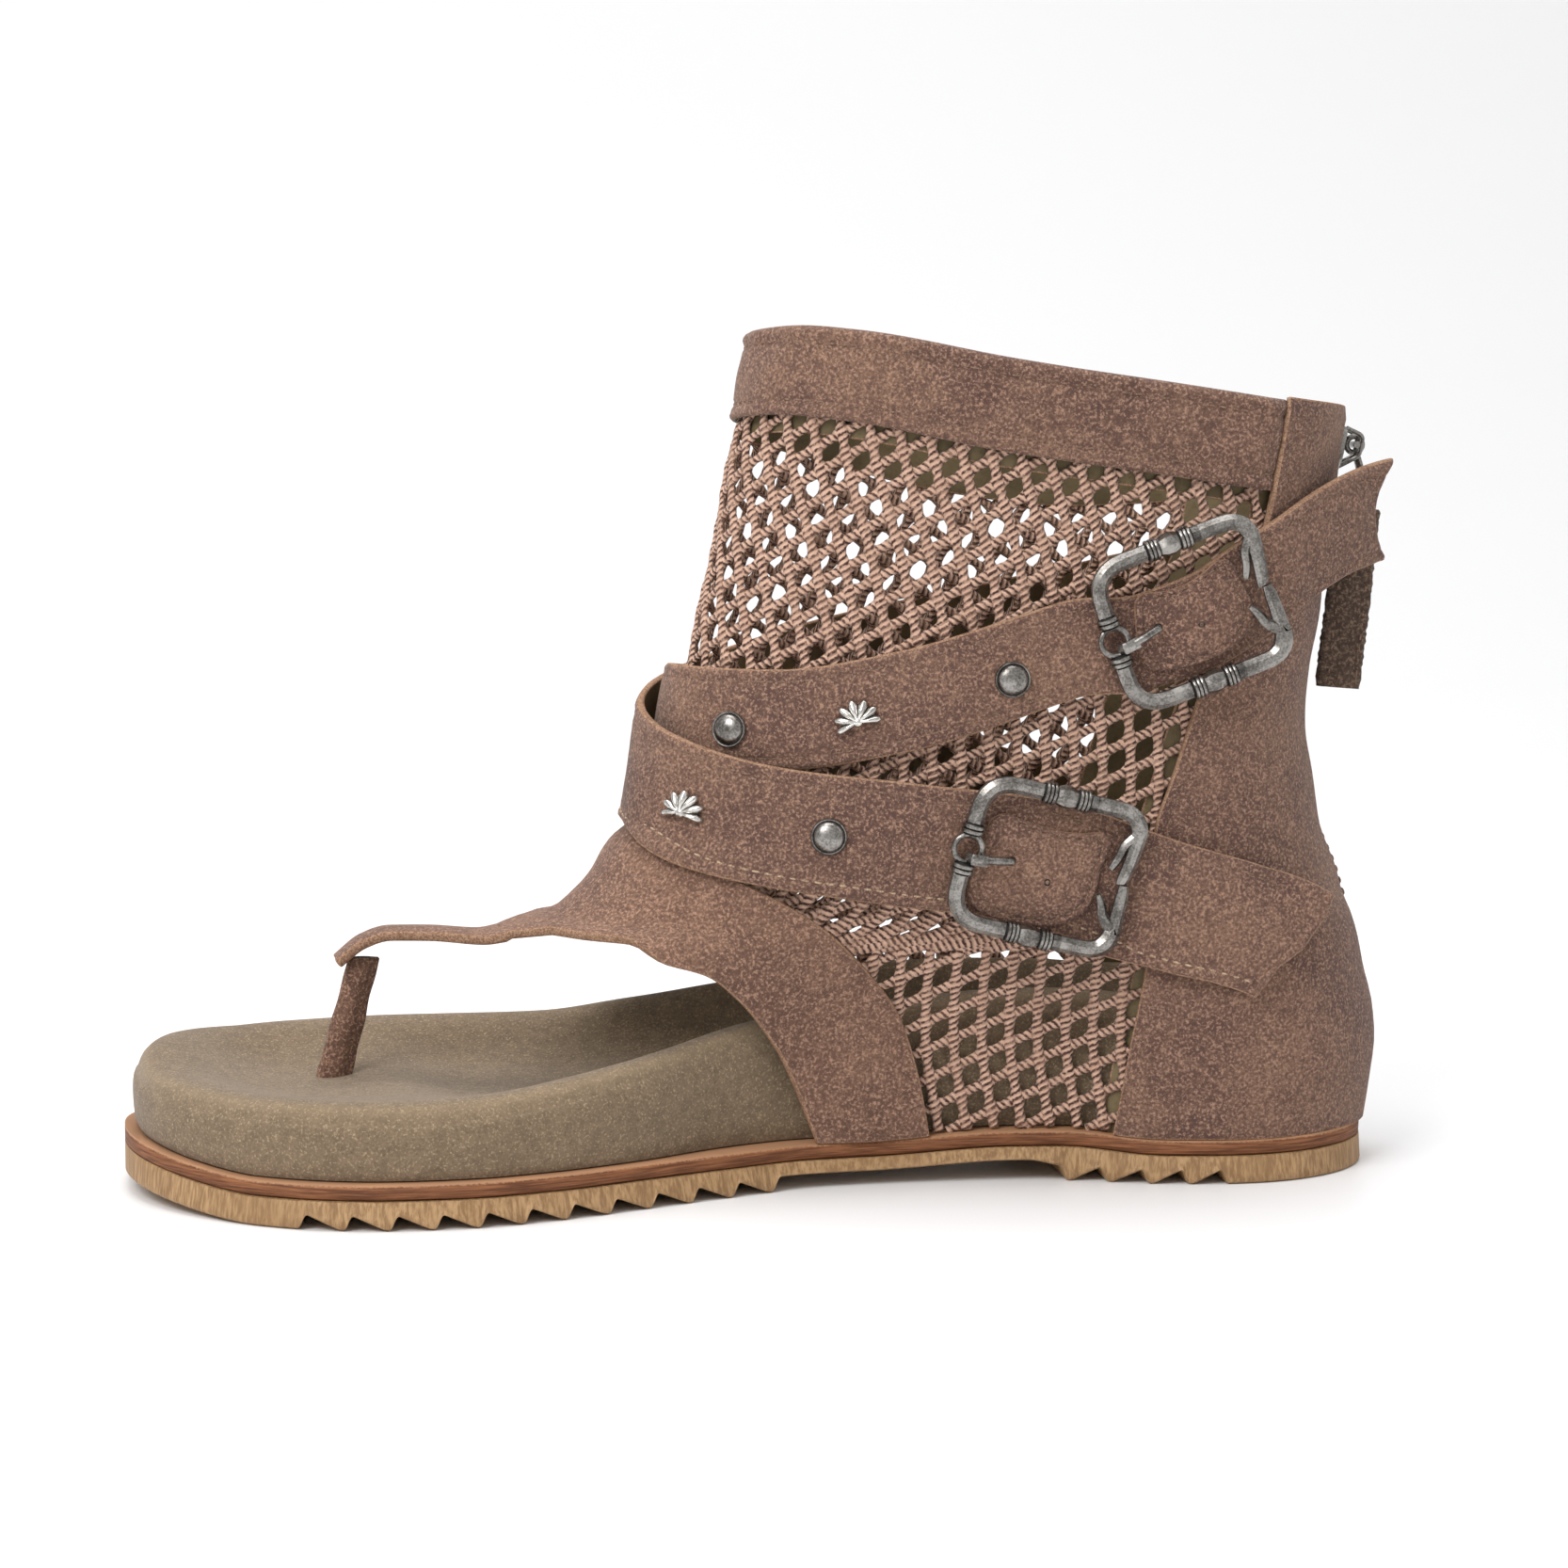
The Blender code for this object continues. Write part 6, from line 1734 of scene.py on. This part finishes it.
def dome_build():
    build = Build()
    rim = DOME_RADIUS
    profile = [(rim * 0.98, 0.0), (rim, 0.0002), (rim, 0.0006), (rim * 0.965, 0.0008), (rim * 0.90, 0.00078)]
    # The foot and the groove inside the rim are marked darker: painted shade where the dome meets the strap,
    # patina with painted shade in the groove.
    recess = [0.3, 0.1, 0.0, 0.0, 0.5]
    profile += [(rim * 0.86, 0.00070), (rim * 0.84, 0.00082)]
    recess += [0.9, 0.4]
    for angle in np.radians(np.linspace(8, 88, 10)):
        profile.append((rim * 0.84 * math.cos(angle), 0.0008 + (DOME_HEIGHT - 0.0006) * math.sin(angle)))
        recess.append(0.0)
    points, faces = lofted(lathe(profile, 40))
    build.add(points, faces, recess=np.repeat(recess, 40))
    return build


def fan_build():
    """Ribbed fan: seven ribs spread from a foot with a small knot."""
    build = Build()
    ribs, turns, rings = 7, 140, 16
    spread = math.radians(118)
    foot = np.array((0.0, -0.45 * FAN_RADIUS))
    rows, recess = [], []
    angle = np.linspace(-spread, spread, turns)
    lobe = np.sin((angle / spread * ribs / 2 + ribs / 2) % 1 * math.pi)
    reach = FAN_RADIUS * (0.80 + 0.46 * lobe**0.8) * (1 - 0.06 * (angle / spread) ** 2)
    reach = reach * np.where(np.abs(angle) > spread * 0.93, 0.7, 1.0)
    for t in np.linspace(0, 1, rings):
        r = reach * (0.04 + 0.96 * t)
        rib = 0.30 * lobe * smoothstep(0.05, 0.5, t) * (1 - 0.5 * t)
        height = 0.0004 + FAN_HEIGHT * (0.80 * (1 - t**2) ** 0.6 + rib)
        height = height * (1 - smoothstep(0.94, 1.0, t) * 0.75)
        x, y = foot[0] + r * np.sin(angle), foot[1] + r * np.cos(angle) * 0.92
        rows.append(np.stack([x, y, height], 1))
        # Grooves between the ribs are marked darker: patina with painted shade. The bottom ring below is
        # fully dark: painted shade under the fan's edge.
        recess.append((1 - smoothstep(0.0, 0.45, lobe)) * smoothstep(0.08, 0.3, t))
    rows.append(np.stack([rows[-1][:, 0], rows[-1][:, 1], np.zeros(turns)], 1))
    recess.append(np.ones(turns))
    rows = np.array(rows)
    faces = grid_faces(len(rows), turns)
    points = rows.reshape(-1, 3)
    faces.append([(len(rows) - 1) * turns + j for j in range(turns)] + [0])
    build.add(points, faces, recess=np.concatenate(recess))
    knot = lathe([(0.0009, 0.0), (0.0011, 0.0007), (0.0010, 0.0014), (0.0006, 0.0018), (0.0001, 0.0019)], 16)
    knot[..., 1] += foot[1]
    points, faces = lofted(knot)
    build.add(points, faces, recess=0.0)
    return build


# Leather tongue inside a buckle's frame: its outline from the buckle's middle, in metres
TONGUE = (
    (-0.0126, 0.0066), (-0.0104, 0.0081), (-0.0075, 0.0074), (-0.0040, 0.0067),
    (0.0013, 0.0066), (0.0052, 0.0074), (0.0084, 0.0088), (0.0106, 0.0080),
    (0.0112, 0.0050), (0.0112, 0.0015), (0.0118, -0.0020), (0.0112, -0.0058),
    (0.0092, -0.0086), (0.0066, -0.0104), (0.0026, -0.0116), (-0.0025, -0.0120),
    (-0.0079, -0.0110), (-0.0116, -0.0094), (-0.0128, -0.0068), (-0.0130, 0.0),
)
TONGUE_THICKNESS = 0.0014
PUNCH = (0.0013, -0.0030)
PUNCH_RADIUS = 0.00055


def make_tongue(strap, part, stretch):
    """Raised end of the strap that the frame and its pin hold."""
    behind, ahead = strap.point(part + 0.01, 0.0)[0], strap.point(part - 0.01, 0.0)[0]
    scale = float(np.linalg.norm(behind - ahead)) / 0.02
    corners = np.array(TONGUE + TONGUE[:1]) * (1.0, stretch)
    knots = np.arange(len(corners))
    spots = np.linspace(0, len(TONGUE), 141)[:-1]
    outline = np.stack([np.interp(spots, knots, corners[:, k]) for k in (0, 1)], 1)
    for _ in range(3):
        outline = (np.roll(outline, 1, axis=0) + outline * 2 + np.roll(outline, -1, axis=0)) / 4
    middle = outline.mean(0)

    def seated(spots, lift):
        return strap.point(part - spots[:, 0] / scale, spots[:, 1] / strap.width, lift, sag=False)

    build = Build()
    rings = []
    # Share of the way from the middle, and height as a share of the tongue's thickness
    profile = [(1.0, -0.0016 / TONGUE_THICKNESS), (1.005, 0.0004 / TONGUE_THICKNESS), (1.0, 0.75)]
    profile += [(0.975, 0.95), (0.94, 1.0), (0.90, 0.98), (0.87, 0.72), (0.84, 0.96), (0.78, 1.08)]
    profile += [(0.6, 1.16), (0.4, 1.2), (0.2, 1.22), (0.02, 1.22)]
    for share, rise in profile:
        spots = middle + (outline - middle) * share
        rings.append(seated(spots, STRAP_THICKNESS + rise * TONGUE_THICKNESS)[0])
    points, faces = lofted(np.array(rings))
    kinds = [1 if f // len(outline) < 2 else 0 for f in range(len(faces))]
    build.add(points, faces, kinds)
    line = middle + (outline - middle) * 0.87
    spots, outs = seated(line[4:120], STRAP_THICKNESS + TONGUE_THICKNESS * 0.80)
    stitches(build, spots, outs, kind=2)
    # The punched hole is a small raised disc in the black tape finish: painted shade standing in for the
    # hole's depth.
    turn = np.linspace(0, 2 * math.pi, 16, endpoint=False)
    hole = PUNCH_RADIUS * np.stack([np.cos(turn), np.sin(turn)], 1)
    rims = []
    for share, rise in ((1.3, 1.0), (1.2, 1.25), (0.8, 1.24), (0.05, 1.05)):
        rims.append(seated(PUNCH + hole * share, STRAP_THICKNESS + TONGUE_THICKNESS * rise)[0])
    points, faces = lofted(np.array(rims))
    build.add(points, faces, [3] * len(faces))
    build.piece(f"buckle_tongue_{strap.name}", [SUEDE, EDGE, THREAD, TAPE], slot="suede", sharp=50)


def make_hardware(straps):
    for name, part, sink in BUCKLES:
        spot, forward, up, out = straps[name].frame(part)
        spot = spot + out * (STRAP_THICKNESS + BAR_RADIUS + BUCKLE_CLEARANCE - sink)
        make_buckle(name, spot, forward, up, out)
        make_tongue(straps[name], part, 0.92 if name == "upper" else 1.0)
    for node, strap, part, across, kind in STUDS:
        spot, forward, up, out = straps[strap].frame(part, across)
        spot = spot + out * (STRAP_THICKNESS + GAP)
        build = dome_build() if kind == "dome" else fan_build()
        # The fans stand upright on the outer side
        if kind == "fan":
            forward = -forward
            lean = math.radians(-8)
            c, s = math.cos(lean), math.sin(lean)
            forward, up = forward * c + up * s, up * c - forward * s
        placed(build, node + "_cast", [NICKEL if kind == "dome" else SILVER], spot, forward, up, out,
               slot="aged_nickel", replaces=[node], sharp=50, closed=False)


# Zip
def zip_line(z, across=0.0, offset=0.0):
    seat = NET_THICKNESS + LAYER_GAP
    side = np.where(np.asarray(across) < 0, -1, 1)
    return last.point(side * (1 - np.abs(across) / last.length(side, z)), z, seat + offset)


def zip_pin():
    seat = NET_THICKNESS + TAPE_THICKNESS + 2 * GAP
    low = last.point(-1.0, SLIDER_HEIGHT - 0.006, seat)
    high = last.point(-1.0, SLIDER_HEIGHT + 0.002, seat)
    up = units((high[0] - low[0], 0.0, high[2] - low[2]))
    middle = (low + high) / 2
    middle[1] = 0.0
    return middle, up, np.array((up[2], 0.0, -up[0]))


def make_zip():
    z = np.linspace(ZIP_BOTTOM + 0.0006, float(cuff_top(NEAR_BACK)) - 0.0012, 130)
    across = np.linspace(-1, 1, 9) * (ZIP_WIDTH / 2 + 0.0012)
    zz, aa = np.meshgrid(z, across, indexing="ij")
    points = zip_line(zz, aa, -0.0004)
    side = np.where(aa < 0, -1, 1)
    normals = last.normal(side * (1 - np.abs(aa) / last.length(side, zz)), zz)
    build = Build()
    wall(build, points.reshape(-1, 3), grid_faces(*zz.shape), normals.reshape(-1, 3), TAPE_THICKNESS * 0.75,
         (0.00012 * np.cos(aa * 3200)).ravel(), kinds=(0, 0, 0))
    build.piece("zip_tape_woven", [TAPE], slot="tape", replaces=["zip_tape"])
    teeth = Build()
    pitch = 0.0013
    heights = np.arange(ZIP_BOTTOM + 0.0025, float(cuff_top(NEAR_BACK)) - 0.002, pitch)
    for n, height in enumerate(heights):
        side = 1 if n % 2 else -1
        seat = zip_line(height, 0.0, TAPE_THICKNESS * 0.55)
        out = last.normal(0.99999, height)
        up = units(np.cross((0.0, 1.0, 0.0), -out))
        reach = np.linspace(-0.0007, 0.0015, 5)
        path = np.array([seat + np.array((0, side * r, 0)) for r in reach])
        thick = np.array([0.55, 1.0, 0.9, 0.8, 0.75]) * 0.00046
        teeth.add(*tube(path, np.stack([thick, thick * 1.1], 1), sides=6, up=out), recess=0.15)
    for side in (-1, 1):
        heights = np.linspace(ZIP_BOTTOM + 0.002, float(cuff_top(NEAR_BACK)) - 0.002, 120)
        teeth.add(*tube(zip_line(heights, side * 0.0017, 0.0006), 0.0003, sides=6, up=(1, 0, 0)), recess=0.6)
    teeth.piece("zip_teeth", [TEETH], slot="aged_nickel", closed=False)
    middle, up, out = zip_pin()
    side_way = np.cross(out, up)
    body_thick = 0.0020
    rise = body_thick + PULL_EYE_RADIUS + PULL_EYE_WIRE + 0.0006
    pivot = middle + up * 0.0015 + out * rise
    slider = Build()
    outline = []
    for t in np.linspace(0, 2 * math.pi, 48, endpoint=False):
        x = 0.0049 * math.copysign(abs(math.cos(t)) ** 0.55, math.cos(t))
        y = 0.0030 * math.copysign(abs(math.sin(t)) ** 0.60, math.sin(t)) * (1.0 + 0.10 * math.cos(t))
        outline.append((x, y))
    outline = np.array(outline)
    rings = [
        np.column_stack([outline * scale, np.full(len(outline), GAP + height)])
        for scale, height in ((0.93, 0.0), (1.0, 0.0003), (1.0, 0.0013), (0.96, 0.0018), (0.86, body_thick))
    ]
    points, faces = lofted(np.array(rings))
    slider.add(points, faces, recess=0.0)
    for side in (-1, 1):
        corners = [(-0.0036, body_thick), (-0.0006, rise + 0.0010)]
        corners += [(0.0036, rise + 0.0009), (0.0045, body_thick)]
        arch = rounded_run([(x, side * 0.0019, height) for x, height in corners], 0.0011)
        path, _ = resampled(arch, 0.0003)
        both = np.tile((0.00045, 0.00055), (len(path), 1))
        slider.add(*tube(path, both, sides=8, up=(0, 1, 0), turn=math.pi / 8), recess=0.0)
    pin = np.array([(0.0015, y, rise) for y in np.linspace(-0.0022, 0.0022, 5)])
    slider.add(*tube(pin, 0.0007, sides=14, up=(0, 0, 1)), recess=0.0)
    placed(slider, "slider_cast", [NICKEL], middle, up, side_way, out, slot="aged_nickel",
           replaces=["zip_slider"], sharp=35, closed=False)
    px, pz = pivot[0], pivot[2]
    link = Build()
    angles = np.linspace(0, 2 * math.pi, 32, endpoint=False)
    eye = PULL_EYE_RADIUS * np.stack([np.cos(angles), 0 * angles, np.sin(angles)], 1) + (px, 0, pz)
    link.add(*tube(eye, PULL_EYE_WIRE, sides=10, up=(0, 1, 0), closed=True), recess=0.0)
    corners = [(px + 0.0003, 0, pz - PULL_EYE_RADIUS), (px + 0.0016, 0, pz - 0.006)]
    corners.append((px + 0.0012, 0, pz - 0.0128))
    hang = rounded_run(corners, 0.002)
    path, _ = resampled(hang, 0.0005)
    wide = 0.0010 + 0.0009 * bump(np.linspace(0, 1, len(path)), 0.6, 0.35)
    flat = np.stack([np.full(len(path), 0.0008), wide], 1)
    link.add(*tube(path, flat, sides=12, up=(0, 1, 0)), recess=0.0)
    link.piece(
        "pull_link", [NICKEL], body="zip_pull", slot="aged_nickel", replaces=["zip_link"],
        sharp=35, closed=False,
    )
    make_pull_tab(px, pz)


def make_pull_tab(px, pz):
    top = np.array((px + 0.0010, 0.0, pz - 0.0128 - GAP))
    lean = math.radians(5)
    down = np.array((-math.sin(lean), 0.0, -math.cos(lean)))
    wide = np.array((math.cos(lean), 0.0, -math.sin(lean)))
    build = Build()
    rings = []
    turn = 2 * math.pi * (np.arange(36) + 0.5) / 36
    flat = np.sign(np.cos(turn)) * np.abs(np.cos(turn)) ** 0.35
    deep = np.sign(np.sin(turn)) * np.abs(np.sin(turn)) ** 0.6
    for share in np.concatenate([[0.0, 0.008, 0.02], np.linspace(0.05, 0.97, 44), [0.985, 0.995, 1.0]]):
        swell = 0.93 + 0.07 * float(smoothstep(0.0, 0.02, share))
        swell -= 0.05 * float(smoothstep(0.985, 1.0, share))
        middle = top + down * PULL_TAB_LENGTH * share - wide * 0.0006 * share
        rough = 0.00012 * np.sin(share * 140 + turn * 3) + 0.0001 * np.sin(share * 61 - turn * 5)
        spot = middle + wide * (flat * swell * PULL_TAB_WIDTH / 2 + rough)[:, None]
        groove = 1 - 0.16 * bump(flat, 0.62, 0.10) - 0.16 * bump(flat, -0.62, 0.10)
        waist = 1 - 0.30 * float(bump(share, 0.0, 0.03))
        spot[:, 1] = deep * PULL_TAB_THICKNESS / 2 * groove * waist + 0.0003 * math.sin(share * 9)
        rings.append(spot)
    build.add(*lofted(np.array(rings)))
    for side in (-1, 1):
        for face in (-1, 1):
            share = np.linspace(0.06, 0.965, 60)
            path = top + down * (PULL_TAB_LENGTH * share)[:, None] + wide * (side * 0.62 * PULL_TAB_WIDTH / 2)
            path[:, 1] = face * PULL_TAB_THICKNESS / 2 * 0.74 + 0.0003 * np.sin(share * 9)
            stitches(build, path, np.tile((0.0, face, 0.0), (len(path), 1)), kind=1)
    materials = [ROUGH_SUEDE, THREAD]
    build.piece(
        "pull_tab_suede", materials, body="zip_pull", slot="rough_suede", replaces=["zip_tab"], sharp=50
    )


# Stage
def make_stage():
    mesh = bpy.data.meshes.new("studio_floor")
    reach, rise, bend = 3.0, 1.6, 0.8
    profile = [(-1.2, 0.0), (0.7, 0.0)]
    for a in np.linspace(0.1, math.pi / 2, 12):
        profile.append((0.7 + bend * math.sin(a), bend * (1 - math.cos(a))))
    profile.append((0.7 + bend, rise))
    points = [(x, y, z - 0.0001) for x in (-reach, reach) for y, z in profile]
    n = len(profile)
    faces = [(k, k + 1, n + k + 1, n + k) for k in range(n - 1)]
    mesh.from_pydata(points, [], faces)
    mesh.shade_smooth()
    mesh.materials.append(floor_finish())
    floor = bpy.data.objects.new("studio_floor", mesh)
    bpy.context.scene.collection.objects.link(floor)
    world = bpy.data.worlds.new("studio")
    bpy.context.scene.world = world
    world.use_nodes = True
    world.node_tree.nodes["Background"].inputs[0].default_value = (1.0, 1.0, 1.0, 1.0)
    world.node_tree.nodes["Background"].inputs[1].default_value = 0.66
    bpy.context.scene.view_settings.view_transform = "Standard"
    middle = Vector((-0.095, 0.0, 0.08))
    for name, place, size, power in (
        ("key", (-0.85, -0.80, 1.05), 0.7, 13.5),
        ("top", (-0.10, 0.15, 1.4), 0.9, 12.0),
        ("right", (1.1, -0.3, 0.9), 0.7, 1.2),
    ):
        light = bpy.data.lights.new(name, "AREA")
        light.energy = power
        light.size = size
        obj = bpy.data.objects.new(name, light)
        bpy.context.scene.collection.objects.link(obj)
        obj.location = place
        obj.rotation_euler = (middle - Vector(place)).to_track_quat("-Z", "Y").to_euler()


def make_camera():
    """The photograph's view: 9 degrees towards the toe from square on, a little from above."""
    data = bpy.data.cameras.new("photo_view")
    data.sensor_width = 36.0
    data.lens = 94.78
    data.clip_end = 20.0
    camera = bpy.data.objects.new("photo_view", data)
    bpy.context.scene.collection.objects.link(camera)
    target = Vector((-0.097, -0.055, 0.085))
    camera.location = Vector((-0.2196, -0.8291, 0.1665))
    camera.rotation_euler = (target - camera.location).to_track_quat("-Z", "Y").to_euler()
    bpy.context.scene.camera = camera


make_camera()
make_stage()
make_sole()
make_footbed()
make_post()
make_vamp()
make_linings()
make_net()
make_counter()
make_cuff()
straps = {name: make_strap(name) for name in ("upper", "lower")}
make_hardware(straps)
make_zip()
